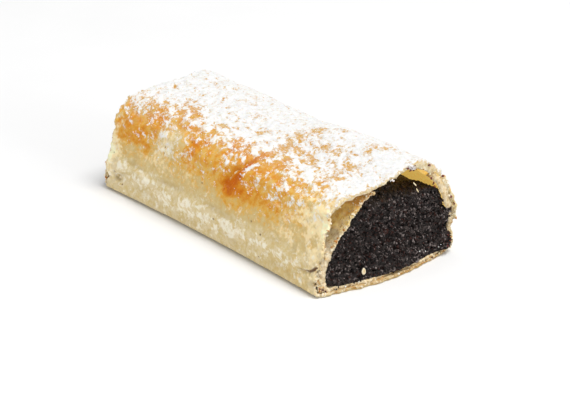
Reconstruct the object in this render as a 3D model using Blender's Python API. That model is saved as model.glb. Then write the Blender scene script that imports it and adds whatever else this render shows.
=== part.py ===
"""A cut length of baked poppy seed strudel, lying on its flat underside.

X runs along the roll, with the more open cut at +X. Z is up. The origin is at the
centre of the underside of the whole thing's box.

Three pieces show at the two cuts, and each runs through the roll:
  crust          the outer sheet of pastry, baked to a shell that stands away from
                 the filling at the upper left and over its top
  inner_dough    the soft inner turn of pastry, which wraps the filling from its upper
                 left round underneath to its upper right
  poppy_filling  the packed ground seed, sunk at the top and swelling at the foot
"""

import math

import bpy
import numpy as np

# Driving sizes, in millimetres.
LENGTH = 131.0           # between the two cuts, at the foot of the left side
GAP = 0.3                # left between pieces that touch
FOOT = 27.5              # half width of the flat underside
LIP_NEAR = 4.6           # how far the underside stands out past the +X cut
LIP_FAR = 2.2            # and past the -X cut
LIP_LEAN = 1.1           # over 1 puts the middle of the lip left of the centre
WAIST = 1.7              # how far the left foot draws in halfway along
CREASE_ARC = 12.0        # height up the left side of its long crease
CREASE_DEPTH = 0.7
CREASE_HALF = 2.2
NOTCH_DEPTH = 3.2        # split in the edge of the crust, low on the right of the +X cut
DOUGH_LEFT = 1.0         # thickness of the inner turn on its left, underneath and right
DOUGH_FOOT = 0.9
DOUGH_RIGHT = 1.3
STATIONS = 20            # sections along the roll
UNDER_STEPS = 9          # steps across the flat underside
PER_ROW = 3              # steps between two rows of the crust's section
DOUGH_STEPS = 35
FILLING_STEPS = 40
CAP_RINGS = 4

# Section of the crust's outside, from the left foot over the top to the right foot:
# Y and Z at the -X cut, what is added to them at the +X cut, wall thickness, and how
# far the edge stands out at the +X cut and at the -X cut.
CRUST_ROWS = (
    # name              y      z     dy    dz   wall  near   far
    ("foot_left_in",   -FOOT,  0.0,  0.0,  0.0, 1.0,  2.2,  0.6),
    ("foot_left",      -32.6,  0.7, -0.5, -0.1, 1.1,  1.5,  0.2),
    ("flank_low",      -32.4,  4.6, -0.5,  0.3, 1.2, -0.4, -2.0),
    ("flank_bulge",    -31.8,  9.4, -1.1, -0.7, 1.3,  0.1,  1.4),
    ("flank_mid",      -29.2, 18.4, -0.3,  0.6, 1.3,  0.5,  0.2),
    ("shoulder_low",   -27.5, 25.4,  0.7,  0.9, 1.3,  0.1, -0.2),
    ("shoulder",       -24.7, 31.3,  0.3, -0.5, 1.4, -0.5,  0.3),
    ("top_left",       -17.3, 36.7,  1.7, -2.1, 1.5,  0.6,  0.1),
    ("top_mid",         -3.5, 38.1,  2.5, -2.2, 1.6,  0.1, -1.2),
    ("ridge",           13.5, 39.3,  0.5,  0.2, 1.8, -0.6, -0.3),
    ("top_right",       23.0, 36.8,  0.4, -0.4, 2.1, -0.7,  0.2),
    ("shoulder_right",  29.2, 30.4,  0.9, -0.4, 2.4, -0.4,  0.4),
    ("flank_right",     32.9, 20.0,  1.1, -0.4, 2.3,  1.2, -0.3),
    ("flank_right_low", 33.5,  9.6,  1.2,  0.8, 1.8,  1.4, -0.6),
    ("foot_right",      31.6,  1.2,  0.3,  0.0, 1.2,  0.5, -0.4),
    ("foot_right_in",   FOOT,  0.0,  0.0,  0.0, 1.0,  1.3,  0.6),
)

# Outside of the inner turn, down its free left side: Y and Z at the +X cut, and what is
# added to them at the -X cut.
DOUGH_ROWS = (
    ("tuck_left",      -5.4, 32.9,  0.0,  2.3),
    ("upper_left",    -11.4, 30.8, -0.6,  2.4),
    ("bend_left",     -15.6, 26.8, -1.2,  2.6),
    ("slope_left",    -21.6, 19.8, -1.6,  1.6),
    ("lower_left",    -27.3, 13.0, -0.8,  0.8),
    ("low_left",      -30.0,  7.4,  0.1,  0.2),
    ("corner_left",   -29.9,  3.9,  0.1,  0.0),
)
TUCK_RIGHT_ROW = 10.3    # where the inner turn ends at the upper right, in crust rows

# Top of the filling, from the right over to the left, in the same way.
TOP_ROWS = (
    ("top_edge_right", 25.2, 25.6,  0.2,  1.6),
    ("top_fall",       18.6, 30.2,  0.4,  2.0),
    ("top_right",      12.0, 32.3,  0.0,  2.2),
    ("top_mid",         3.4, 32.4,  0.0,  2.6),
)
FILLING_RIGHT = 22.6     # height where the filling leaves the inner turn on the right

# Folds and swellings of the crust: X and arc of the middle, half length, half width,
# lean in degrees from X, depth (negative swells out).
FOLDS = (
    (-40.0, 30.0, 12.0,  5.0,  52.0,  1.7),
    (-56.0, 32.0,  7.0,  6.0,  90.0, -0.5),
    (-25.0, 32.0, 10.0,  4.0,  56.0, -0.6),
    ( 10.0, 33.0, 10.0,  2.8,  48.0,  1.0),
    ( 17.0, 33.0,  9.0,  3.5,  50.0, -0.4),
    ( 36.0, 34.0, 11.0,  4.0,  35.0,  0.5),
    (-50.0, 84.0,  5.0, 10.0,   0.0,  0.9),
    (-36.0, 84.0,  5.0, 10.0,   0.0,  0.3),
    (-20.0, 84.0, 10.0, 12.0,   0.0,  1.0),
    (  2.0, 84.0, 13.0, 13.0,   0.0,  1.6),
    ( 42.0, 84.0, 14.0, 12.0,   0.0, -0.6),
    (-12.0, 60.0, 14.0,  5.0,  20.0,  0.5),
    ( 30.0, 56.0, 12.0,  5.0, -15.0,  0.5),
    (-34.0, 96.0,  9.0,  3.0,  60.0,  0.4),
    ( 22.0, 98.0, 10.0,  3.0, 118.0,  0.4),
)

STEP = LENGTH / (STATIONS - 1)


def smooth(value):
    value = min(1.0, max(0.0, value))
    return value * value * (3.0 - 2.0 * value)


def through(points, per):
    """A smooth line through the points, with per steps between two of them."""
    points = np.asarray(points, float)
    ends = np.vstack([2 * points[0] - points[1], points, 2 * points[-1] - points[-2]])
    line = []
    for i in range(len(points) - 1):
        a, b, c, d = ends[i : i + 4]
        for k in range(per):
            t = k / per
            line.append(
                0.5
                * (
                    2 * b
                    + (c - a) * t
                    + (2 * a - 5 * b + 4 * c - d) * t * t
                    + (3 * b - a - 3 * c + d) * t**3
                )
            )
    line.append(points[-1])
    return np.array(line)


def inward(line, depth, closed, turn):
    """The line moved sideways by depth. turn is 1 where the inside is on its right."""
    if closed:
        run = np.roll(line, -1, 0) - np.roll(line, 1, 0)
    else:
        run = np.gradient(line, axis=0)
    run /= np.linalg.norm(run, axis=1)[:, None]
    side = np.stack([run[:, 1], -run[:, 0]], 1) * turn
    return line + side * np.asarray(depth, float).reshape(-1, 1)


def even(line, steps):
    """The same line in equal steps."""
    length = np.concatenate([[0], np.cumsum(np.linalg.norm(np.diff(line, axis=0), axis=1))])
    at = np.linspace(0, length[-1], steps + 1)
    return np.stack([np.interp(at, length, line[:, 0]), np.interp(at, length, line[:, 1])], 1)


def relief(x, arc):
    """How far the crust's outside is pressed in at x and arc."""
    crease = CREASE_ARC + 0.9 * math.sin(x / 17.0)
    depth = CREASE_DEPTH * math.exp(-(((arc - crease) / CREASE_HALF) ** 2))
    for x0, arc0, half_long, half_wide, lean, press in FOLDS:
        cos, sin = math.cos(math.radians(lean)), math.sin(math.radians(lean))
        along = ((x - x0) * cos + (arc - arc0) * sin) / half_long
        across = (-(x - x0) * sin + (arc - arc0) * cos) / half_wide
        depth += press * math.exp(-along * along - across * across)
    return depth


def drawn_in(rows, x):
    """The rows with the left foot's waist at x."""
    waist = WAIST * (1 - (2 * x / LENGTH) ** 2)
    return [(y + waist * math.exp(-z / 9.0) * (y < 0), z) for y, z in rows]


def crust_section(x):
    """Outside and inside of the crust at x, as rings that end across the underside."""
    part = smooth((x + LENGTH / 2) / LENGTH)
    rows = [(y + dy * part, z + dz * part) for _, y, z, dy, dz, *_ in CRUST_ROWS]
    over = through(drawn_in(rows, x), PER_ROW)
    wall = through([(row[5], 0.0) for row in CRUST_ROWS], PER_ROW)[:, 0]
    arc = np.concatenate([[0], np.cumsum(np.linalg.norm(np.diff(over, axis=0), axis=1))])
    rise = np.clip(over[:, 1] / 4.0, 0, 1)
    pressed = np.array([relief(x, a) for a in arc]) * rise
    over = inward(over, pressed, False, 1)
    over[:, 1] = np.maximum(over[:, 1], 0.0)
    share = np.arange(1, UNDER_STEPS) / UNDER_STEPS
    under = over[-1] + (over[0] - over[-1]) * share[:, None]
    outside = np.vstack([over, under])
    wall = np.concatenate([wall, np.full(len(under), CRUST_ROWS[0][5])])
    return outside, inward(outside, wall, True, 1)


def crust_reach(end):
    """How far each point of the ring stands past its cut: end is 1 at +X, -1 at -X."""
    column = 6 if end > 0 else 7
    lip = LIP_NEAR if end > 0 else LIP_FAR
    over = through([(row[column], 0.0) for row in CRUST_ROWS], PER_ROW)[:, 0]
    at = np.arange(len(over)) / PER_ROW
    over = over + 0.35 * np.sin(at * 5.1 + end) + 0.2 * np.sin(at * 11.7 + 2 * end)
    if end > 0:
        over = over - NOTCH_DEPTH * np.exp(-(((at - 13.0) / 0.3) ** 2))
    share = np.arange(1, UNDER_STEPS) / UNDER_STEPS
    under = over[-1] + (over[0] - over[-1]) * share + lip * np.sin(math.pi * share**LIP_LEAN)
    return np.concatenate([over, under])


def dough_lines(x):
    """Outside and inside of the inner turn at x, from its upper left to its upper right."""
    part = 1.0 - smooth((x + LENGTH / 2) / LENGTH)
    rows = [(y + dy * part, z + dz * part) for _, y, z, dy, dz in DOUGH_ROWS]
    left = through(drawn_in(rows, x), 4)
    _, lining = crust_section(x)
    lining = inward(lining, GAP, True, 1)
    last = (len(CRUST_ROWS) - 1) * PER_ROW
    stop = int(round(TUCK_RIGHT_ROW * PER_ROW))
    under = lining[last + 1 :][::-1]
    right = lining[stop : last + 1][::-1]
    start = np.array([[lining[0, 0] - 0.8, lining[0, 1] + 0.15]])
    outside = even(np.vstack([left, start, under, right]), DOUGH_STEPS)
    share = np.linspace(0, 1, len(outside))
    thick = np.interp(share, [0, 0.3, 0.36, 0.7, 0.8, 1], [DOUGH_LEFT * 0.7, DOUGH_LEFT, DOUGH_FOOT, DOUGH_FOOT, DOUGH_RIGHT, DOUGH_RIGHT * 0.7])
    return outside, inward(outside, thick, False, -1)


def filling_ring(x):
    """Outline of the filling at x."""
    part = 1.0 - smooth((x + LENGTH / 2) / LENGTH)
    _, held = dough_lines(x)
    held = inward(held, GAP, False, -1)
    half = len(held) // 2
    keep = [p for i, p in enumerate(held) if i < half or p[1] < FILLING_RIGHT + 1.5 * part]
    top = [(y + dy * part, z + dz * part) for _, y, z, dy, dz in TOP_ROWS]
    line = through(np.vstack([keep[-1:], top, keep[:1]]), 4)
    ring = even(np.vstack([keep, line[1:]]), FILLING_STEPS)
    return ring[:-1]


def crumb(i, j):
    """A fixed uneven number from -1 to 1 for each point of a broken face."""
    value = math.sin(i * 12.9898 + j * 78.233) * 43758.5453
    return 2.0 * (value - math.floor(value)) - 1.0


def face_reach(y, z, end):
    """How far the cut filling stands past its cut: swelling at the foot, sunk at the top."""
    lip = LIP_NEAR if end > 0 else LIP_FAR
    swell = 0.55 * math.exp(-(((z - 3.0) / 7.0) ** 2)) + 0.4 * math.exp(-((z / 3.6) ** 2))
    foot = lip * swell * math.cos(math.pi * min(1, abs(y) / 34.0) / 2)
    return foot - 1.6 * smooth((z - 22.0) / 12.0) + 0.5 * math.sin(y / 7.0 + end) * math.sin(z / 6.0)


def make(name, points, faces, colour, roughness):
    """An object of one closed body in metres, with a material of its own."""
    mesh = bpy.data.meshes.new(name)
    mesh.from_pydata([tuple(p) for p in np.asarray(points) * 0.001], [], faces)
    mesh.validate()
    mesh.shade_smooth()
    mesh.set_sharp_from_angle(angle=math.radians(40))
    piece = bpy.data.objects.new(name, mesh)
    bpy.context.scene.collection.objects.link(piece)
    material = bpy.data.materials.new(name)
    material.use_nodes = True
    shader = material.node_tree.nodes["Principled BSDF"]
    shader.inputs["Base Color"].default_value = (*colour, 1.0)
    shader.inputs["Roughness"].default_value = roughness
    shader.inputs["Metallic"].default_value = 0.0
    mesh.materials.append(material)
    piece.parent = root
    return piece


def stations():
    return [-LENGTH / 2 + STEP * i for i in range(STATIONS)]


def moved(ring, x, near, far):
    """Points of a ring in space: its share of each cut's reach grows towards that cut."""
    share = (x + LENGTH / 2) / LENGTH
    shift = near * share**3 - far * (1.0 - share) ** 3
    return np.column_stack([x + shift, ring])


def walk(rows, columns, first, flip=False):
    """Four-sided faces between neighbouring closed rings."""
    faces = []
    for i in range(rows - 1):
        for j in range(columns):
            k = (j + 1) % columns
            a, b = first + i * columns + j, first + i * columns + k
            face = (a, b, b + columns, a + columns)
            faces.append(face[::-1] if flip else face)
    return faces


def make_crust():
    near, far = crust_reach(1), crust_reach(-1)
    sections = [crust_section(x) for x in stations()]
    outer = [moved(s[0], x, near, far) for s, x in zip(sections, stations())]
    inner = [moved(s[1], x, near, far) for s, x in zip(sections, stations())]
    count = len(near)
    points = np.vstack(outer + inner)
    second = STATIONS * count
    faces = walk(STATIONS, count, 0, True) + walk(STATIONS, count, second)
    for i, flip in ((0, False), (STATIONS - 1, True)):
        for j in range(count):
            k = (j + 1) % count
            a, b = i * count + j, i * count + k
            face = (a, b, second + b, second + a)
            faces.append(face[::-1] if flip else face)
    return make("crust", points, faces, (0.80, 0.56, 0.27), 0.55)


def make_dough():
    count = DOUGH_STEPS + 1
    share = np.linspace(0, 1, count)
    bulge = np.cos(math.pi / 2 * np.minimum(1.0, np.abs(share - 0.52) / 0.27))
    near = 0.5 + 0.3 * np.sin(share * 31) + 0.98 * LIP_NEAR * bulge - 0.9 * np.clip(share - 0.75, 0, 1)
    far = 0.2 + 0.3 * np.sin(share * 27 + 2) + 0.98 * LIP_FAR * bulge
    rings = []
    for x in stations():
        outside, inside = dough_lines(x)
        ring = np.vstack([outside, inside[::-1]])
        rings.append(moved(ring, x, np.concatenate([near, near[::-1]]), np.concatenate([far, far[::-1]])))
    total = 2 * count
    faces = walk(STATIONS, total, 0)
    for i, flip in ((0, True), (STATIONS - 1, False)):
        for j in range(count - 1):
            a, b = i * total + j, i * total + j + 1
            c, d = i * total + total - 2 - j, i * total + total - 1 - j
            face = (a, b, c, d)
            faces.append(face[::-1] if flip else face)
    return make("inner_dough", np.vstack(rings), faces, (0.74, 0.62, 0.44), 0.6)


def make_filling():
    count = FILLING_STEPS
    points, rows = [], []
    for x in stations():
        ring = filling_ring(x)
        near = np.array([face_reach(y, z, 1) for y, z in ring])
        far = np.array([face_reach(y, z, -1) for y, z in ring])
        rows.append(moved(ring, x, near, far))
    points = list(np.vstack(rows))
    faces = walk(STATIONS, count, 0)
    for end, i in ((-1, 0), (1, STATIONS - 1)):
        rim = rows[i]
        middle = rim.mean(0)
        previous = i * count
        for r in range(1, CAP_RINGS):
            first = len(points)
            share = 1.0 - r / CAP_RINGS
            for j in range(count):
                y, z = middle[1:] + (rim[j, 1:] - middle[1:]) * share
                x = end * (LENGTH / 2 + face_reach(y, z, end) + 0.35 * crumb(j, r * end))
                points.append((x, y, z))
            for j in range(count):
                k = (j + 1) % count
                face = (previous + j, previous + k, first + k, first + j)
                faces.append(face[::-1] if end < 0 else face)
            previous = first
        tip = len(points)
        points.append((end * (LENGTH / 2 + face_reach(middle[1], middle[2], end)), middle[1], middle[2]))
        for j in range(count):
            face = (previous + j, previous + (j + 1) % count, tip)
            faces.append(face[::-1] if end < 0 else face)
    return make("poppy_filling", points, faces, (0.018, 0.015, 0.015), 0.7)


for old in list(bpy.data.objects):
    bpy.data.objects.remove(old, do_unlink=True)

root = bpy.data.objects.new("strudel", None)
bpy.context.scene.collection.objects.link(root)

pieces = [make_crust(), make_dough(), make_filling()]

# The origin goes to the middle of the box, on the underside.
corners = np.array([v.co for piece in pieces for v in piece.data.vertices])
low, high = corners.min(0), corners.max(0)
offset = np.array([(low[0] + high[0]) / 2, (low[1] + high[1]) / 2, low[2]])
for piece in pieces:
    for vertex in piece.data.vertices:
        vertex.co = np.array(vertex.co) - offset
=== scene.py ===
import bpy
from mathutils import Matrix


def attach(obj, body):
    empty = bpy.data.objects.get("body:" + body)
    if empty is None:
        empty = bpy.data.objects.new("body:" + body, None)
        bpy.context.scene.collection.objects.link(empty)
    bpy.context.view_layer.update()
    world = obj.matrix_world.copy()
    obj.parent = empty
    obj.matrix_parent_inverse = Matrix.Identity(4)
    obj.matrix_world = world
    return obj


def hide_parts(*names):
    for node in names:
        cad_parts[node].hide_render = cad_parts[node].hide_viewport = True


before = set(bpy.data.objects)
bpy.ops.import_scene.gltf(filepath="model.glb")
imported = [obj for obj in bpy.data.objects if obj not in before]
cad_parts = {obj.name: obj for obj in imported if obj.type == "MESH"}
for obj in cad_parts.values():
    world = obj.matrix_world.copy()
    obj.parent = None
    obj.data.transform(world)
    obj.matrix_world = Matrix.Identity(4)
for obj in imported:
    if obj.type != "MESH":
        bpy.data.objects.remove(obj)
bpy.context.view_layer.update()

import math

import bpy
import numpy as np

# A cut length of poppy seed strudel. Everything here is worked out in millimetres, with X
# along the roll and the origin between its two cuts, and moved into the frame at the end.

# ---------------------------------------------------------------- the part's own shape

LENGTH = 131.0
GAP = 0.3
FOOT = 27.5
LIP_NEAR = 4.6
LIP_FAR = 2.2
LIP_LEAN = 1.1
WAIST = 1.7
CREASE_ARC = 12.0
CREASE_DEPTH = 0.7
CREASE_HALF = 2.2
NOTCH_DEPTH = 3.2
DOUGH_LEFT = 1.0
DOUGH_FOOT = 0.9
DOUGH_RIGHT = 1.3
UNDER_STEPS = 9
PER_ROW = 3
DOUGH_STEPS = 35
FILLING_STEPS = 40
TUCK_RIGHT_ROW = 10.3
FILLING_RIGHT = 22.6

CRUST_ROWS = (
    # name              y      z     dy    dz   wall  near   far
    ("foot_left_in",   -FOOT,  0.0,  0.0,  0.0, 1.0,  2.2,  0.6),
    ("foot_left",      -32.6,  0.7, -0.5, -0.1, 1.1,  1.5,  0.2),
    ("flank_low",      -32.4,  4.6, -0.5,  0.3, 1.2, -0.4, -2.0),
    ("flank_bulge",    -31.8,  9.4, -1.1, -0.7, 1.3,  0.1,  1.4),
    ("flank_mid",      -29.2, 18.4, -0.3,  0.6, 1.3,  0.5,  0.2),
    ("shoulder_low",   -27.5, 25.4,  0.7,  0.9, 1.3,  0.1, -0.2),
    ("shoulder",       -24.7, 31.3,  0.3, -0.5, 1.4, -0.5,  0.3),
    ("top_left",       -17.3, 36.7,  1.7, -2.1, 1.5,  0.6,  0.1),
    ("top_mid",         -3.5, 38.1,  2.5, -2.2, 1.6,  0.1, -1.2),
    ("ridge",           13.5, 39.3,  0.5,  0.2, 1.8, -0.6, -0.3),
    ("top_right",       23.0, 36.8,  0.4, -0.4, 2.1, -0.7,  0.2),
    ("shoulder_right",  29.2, 30.4,  0.9, -0.4, 2.4, -0.4,  0.4),
    ("flank_right",     32.9, 20.0,  1.1, -0.4, 2.3,  1.2, -0.3),
    ("flank_right_low", 33.5,  9.6,  1.2,  0.8, 1.8,  1.4, -0.6),
    ("foot_right",      31.6,  1.2,  0.3,  0.0, 1.2,  0.5, -0.4),
    ("foot_right_in",   FOOT,  0.0,  0.0,  0.0, 1.0,  1.3,  0.6),
)

DOUGH_ROWS = (
    ("tuck_left",      -5.4, 32.9,  0.0,  2.3),
    ("upper_left",    -11.4, 30.8, -0.6,  2.4),
    ("bend_left",     -15.6, 26.8, -1.2,  2.6),
    ("slope_left",    -21.6, 19.8, -1.6,  1.6),
    ("lower_left",    -27.3, 13.0, -0.8,  0.8),
    ("low_left",      -30.0,  7.4,  0.1,  0.2),
    ("corner_left",   -29.9,  3.9,  0.1,  0.0),
)

TOP_ROWS = (
    ("top_edge_right", 24.8, 24.8,  0.4,  2.2),
    ("top_fall",       18.5, 29.4,  0.4,  2.4),
    ("top_right",      12.0, 31.5,  0.0,  2.6),
    ("top_mid",         3.4, 31.9,  0.0,  2.8),
)

FOLDS = (
    (-40.0, 30.0, 12.0,  5.0,  52.0,  1.7),
    (-56.0, 32.0,  7.0,  6.0,  90.0, -0.5),
    (-25.0, 32.0, 10.0,  4.0,  56.0, -0.6),
    ( 10.0, 33.0, 10.0,  2.8,  48.0,  1.0),
    ( 17.0, 33.0,  9.0,  3.5,  50.0, -0.4),
    ( 36.0, 34.0, 11.0,  4.0,  35.0,  0.5),
    (-50.0, 84.0,  5.0, 10.0,   0.0,  0.9),
    (-36.0, 84.0,  5.0, 10.0,   0.0,  0.3),
    (-20.0, 84.0, 10.0, 12.0,   0.0,  1.0),
    (  2.0, 84.0, 13.0, 13.0,   0.0,  1.6),
    ( 42.0, 84.0, 14.0, 12.0,   0.0, -0.6),
    (-12.0, 60.0, 14.0,  5.0,  20.0,  0.5),
    ( 30.0, 56.0, 12.0,  5.0, -15.0,  0.5),
    (-34.0, 96.0,  9.0,  3.0,  60.0,  0.4),
    ( 22.0, 98.0, 10.0,  3.0, 118.0,  0.4),
)


def smooth(value):
    value = min(1.0, max(0.0, value))
    return value * value * (3.0 - 2.0 * value)


def through(points, at):
    """The smooth line through the points, at these point numbers."""
    points = np.asarray(points, float)
    ends = np.vstack([2 * points[0] - points[1], points, 2 * points[-1] - points[-2]])
    at = np.asarray(at, float)
    i = np.clip(np.floor(at).astype(int), 0, len(points) - 2)
    t = (at - i)[:, None]
    a, b, c, d = ends[i], ends[i + 1], ends[i + 2], ends[i + 3]
    return 0.5 * (2 * b + (c - a) * t + (2 * a - 5 * b + 4 * c - d) * t * t + (3 * b - a - 3 * c + d) * t**3)


def around(points, at):
    """The same for a closed ring."""
    n = len(points)
    i = np.floor(at).astype(int)
    t = (np.asarray(at, float) - i)[:, None]
    a, b, c, d = points[(i - 1) % n], points[i % n], points[(i + 1) % n], points[(i + 2) % n]
    return 0.5 * (2 * b + (c - a) * t + (2 * a - 5 * b + 4 * c - d) * t * t + (3 * b - a - 3 * c + d) * t**3)


def counted(points, per):
    return np.arange((len(points) - 1) * per + 1) / per


def inward(line, depth, closed, turn):
    if closed:
        run = np.roll(line, -1, 0) - np.roll(line, 1, 0)
    else:
        run = np.gradient(line, axis=0)
    run = run / np.maximum(np.linalg.norm(run, axis=1)[:, None], 1e-9)
    side = np.stack([run[:, 1], -run[:, 0]], 1) * turn
    return line + side * np.asarray(depth, float).reshape(-1, 1)


def lengths(line):
    return np.concatenate([[0], np.cumsum(np.linalg.norm(np.diff(line, axis=0), axis=1))])


def even(line, steps):
    length = lengths(line)
    at = np.linspace(0, length[-1], steps + 1)
    return np.stack([np.interp(at, length, line[:, 0]), np.interp(at, length, line[:, 1])], 1)


def relief(x, arc):
    """How far the crust's outside is pressed in."""
    crease = CREASE_ARC + 0.9 * np.sin(x / 17.0)
    depth = CREASE_DEPTH * np.exp(-(((arc - crease) / CREASE_HALF) ** 2))
    for x0, arc0, half_long, half_wide, lean, press in FOLDS:
        cos, sin = math.cos(math.radians(lean)), math.sin(math.radians(lean))
        along = ((x - x0) * cos + (arc - arc0) * sin) / half_long
        across = (-(x - x0) * sin + (arc - arc0) * cos) / half_wide
        depth = depth + press * np.exp(-along * along - across * across)
    return depth


def drawn_in(rows, x):
    waist = WAIST * (1 - (2 * x / LENGTH) ** 2)
    return [(y + waist * math.exp(-z / 9.0) * (y < 0), z) for y, z in rows]


def crust_rows(x):
    part = smooth((x + LENGTH / 2) / LENGTH)
    return drawn_in([(y + dy * part, z + dz * part) for _, y, z, dy, dz, *_ in CRUST_ROWS], x)


def crust_section(x):
    """Outside and inside of the crust at x, at the part's own fineness."""
    at = counted(CRUST_ROWS, PER_ROW)
    over = through(crust_rows(x), at)
    wall = through([(row[5],) for row in CRUST_ROWS], at)[:, 0]
    pressed = relief(x, lengths(over)) * np.clip(over[:, 1] / 4.0, 0, 1)
    over = inward(over, pressed, False, 1)
    over[:, 1] = np.maximum(over[:, 1], 0.0)
    share = np.arange(1, UNDER_STEPS) / UNDER_STEPS
    under = over[-1] + (over[0] - over[-1]) * share[:, None]
    outside = np.vstack([over, under])
    wall = np.concatenate([wall, np.full(len(under), CRUST_ROWS[0][5])])
    return outside, inward(outside, wall, True, 1)


def dough_lines(x):
    """Outside and inside of the inner turn at x, from its upper left to its upper right."""
    part = 1.0 - smooth((x + LENGTH / 2) / LENGTH)
    rows = [(y + dy * part, z + dz * part) for _, y, z, dy, dz in DOUGH_ROWS]
    left = through(drawn_in(rows, x), counted(DOUGH_ROWS, 4))
    _, lining = crust_section(x)
    lining = inward(lining, GAP, True, 1)
    last = (len(CRUST_ROWS) - 1) * PER_ROW
    stop = int(round(TUCK_RIGHT_ROW * PER_ROW))
    under = lining[last + 1 :][::-1]
    right = lining[stop : last + 1][::-1]
    start = np.array([[lining[0, 0] - 0.8, lining[0, 1] + 0.15]])
    outside = even(np.vstack([left, start, under, right]), DOUGH_STEPS)
    share = np.linspace(0, 1, len(outside))
    thick = np.interp(
        share,
        [0, 0.3, 0.36, 0.7, 0.8, 1],
        [DOUGH_LEFT * 0.7, DOUGH_LEFT, DOUGH_FOOT, DOUGH_FOOT, DOUGH_RIGHT, DOUGH_RIGHT * 0.7],
    )
    return outside, inward(outside, thick, False, -1)


def filling_ring(x):
    """Outline of the filling at x."""
    part = 1.0 - smooth((x + LENGTH / 2) / LENGTH)
    _, held = dough_lines(x)
    held = inward(held, GAP, False, -1)
    half = len(held) // 2
    keep = [p for i, p in enumerate(held) if i < half or p[1] < FILLING_RIGHT + 1.5 * part]
    top = [(y + dy * part, z + dz * part) for _, y, z, dy, dz in TOP_ROWS]
    corners = np.vstack([keep[-1:], top, keep[:1]])
    line = through(corners, counted(corners, 4))
    return even(np.vstack([keep, line[1:]]), FILLING_STEPS)[:-1]


def face_reach(y, z, end):
    """How far the cut filling stands past its cut."""
    lip = LIP_NEAR if end > 0 else LIP_FAR
    swell = 0.55 * np.exp(-(((z - 3.0) / 7.0) ** 2)) + 0.4 * np.exp(-((z / 3.6) ** 2))
    foot = lip * swell * np.cos(math.pi * np.minimum(1, np.abs(y) / 34.0) / 2)
    sink = np.clip((z - 22.0) / 12.0, 0, 1)
    sink = sink * sink * (3 - 2 * sink)
    return foot - 1.6 * sink + 0.5 * np.sin(y / 7.0 + end) * np.sin(z / 6.0)


# ---------------------------------------------------------------- fixed uneven fields


def noise(u, v, w, seed):
    """Smooth noise from about -1 to 1 with features one unit wide."""
    table = np.random.RandomState(seed)
    order = table.permutation(512) % 256
    grid = table.normal(size=(256, 3))
    grid /= np.linalg.norm(grid, axis=1)[:, None]
    u, v, w = np.broadcast_arrays(np.asarray(u, float), np.asarray(v, float), np.asarray(w, float))
    i, j, k = np.floor(u).astype(int), np.floor(v).astype(int), np.floor(w).astype(int)
    fu, fv, fw = u - i, v - j, w - k
    eu, ev, ew = [f * f * f * (f * (f * 6 - 15) + 10) for f in (fu, fv, fw)]
    total = 0.0
    for a in (0, 1):
        for b in (0, 1):
            for c in (0, 1):
                g = grid[order[(order[(order[(i + a) & 255] + j + b) & 255] + k + c) & 255]]
                dot = g[..., 0] * (fu - a) + g[..., 1] * (fv - b) + g[..., 2] * (fw - c)
                total = total + dot * (eu if a else 1 - eu) * (ev if b else 1 - ev) * (ew if c else 1 - ew)
    return total * 1.5


def clouds(u, v, w, seed, octaves=4, gain=0.5):
    total, size = 0.0, 1.0
    for n in range(octaves):
        total = total + size * noise(u * 2.03**n + 17 * n, v * 2.03**n, w * 2.03**n, seed + n)
        size *= gain
    return total


def cells(u, v, seed):
    """Distance to the nearest of scattered points, one to a unit square, and that point's own number."""
    table = np.random.RandomState(seed)
    order = table.permutation(512) % 256
    spot = table.rand(256, 3)
    i, j = np.floor(u).astype(int), np.floor(v).astype(int)
    best = np.full(np.shape(u), 9.0)
    number = np.zeros(np.shape(u))
    for a in (-1, 0, 1):
        for b in (-1, 0, 1):
            s = spot[order[(order[(i + a) & 255] + j + b) & 255]]
            d = np.hypot(i + a + s[..., 0] - u, j + b + s[..., 1] - v)
            nearer = d < best
            best = np.where(nearer, d, best)
            number = np.where(nearer, s[..., 2], number)
    return best, number


def step(value, low, high):
    t = np.clip((value - low) / (high - low), 0, 1)
    return t * t * (3 - 2 * t)


def spots(x, arc, shapes, power=1.0):
    """Sum of soft ovals: X, arc, half length, half width, lean in degrees, amount."""
    total = np.zeros(np.broadcast(x, arc).shape)
    for x0, arc0, half_long, half_wide, lean, amount in shapes:
        cos, sin = math.cos(math.radians(lean)), math.sin(math.radians(lean))
        along = ((x - x0) * cos + (arc - arc0) * sin) / half_long
        across = (-(x - x0) * sin + (arc - arc0) * cos) / half_wide
        total = total + amount * np.exp(-((along * along + across * across) ** power))
    return total


# ---------------------------------------------------------------- meshes and materials


def build(name, points, faces, fields=None):
    """A smooth mesh from points in millimetres and an array or list of faces."""
    mesh = bpy.data.meshes.new(name)
    points = np.asarray(points, float)
    mesh.vertices.add(len(points))
    mesh.vertices.foreach_set("co", ((points - OFFSET) * 0.001).astype(np.float32).ravel())
    groups = faces if isinstance(faces, list) else [faces]
    groups = [np.asarray(g, np.int32) for g in groups if len(g)]
    corners = np.concatenate([g.ravel() for g in groups])
    sizes = np.concatenate([np.full(len(g), g.shape[1], np.int32) for g in groups])
    mesh.loops.add(len(corners))
    mesh.loops.foreach_set("vertex_index", corners)
    mesh.polygons.add(len(sizes))
    mesh.polygons.foreach_set("loop_start", np.concatenate([[0], np.cumsum(sizes)[:-1]]).astype(np.int32))
    mesh.update(calc_edges=True)
    mesh.polygons.foreach_set("use_smooth", np.ones(len(sizes), bool))
    for key, values in (fields or {}).items():
        layer = mesh.attributes.new(key, "FLOAT", "POINT")
        layer.data.foreach_set("value", np.asarray(values, np.float32).ravel())
    mesh.update()
    piece = bpy.data.objects.new(name, mesh)
    bpy.context.scene.collection.objects.link(piece)
    return piece


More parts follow.
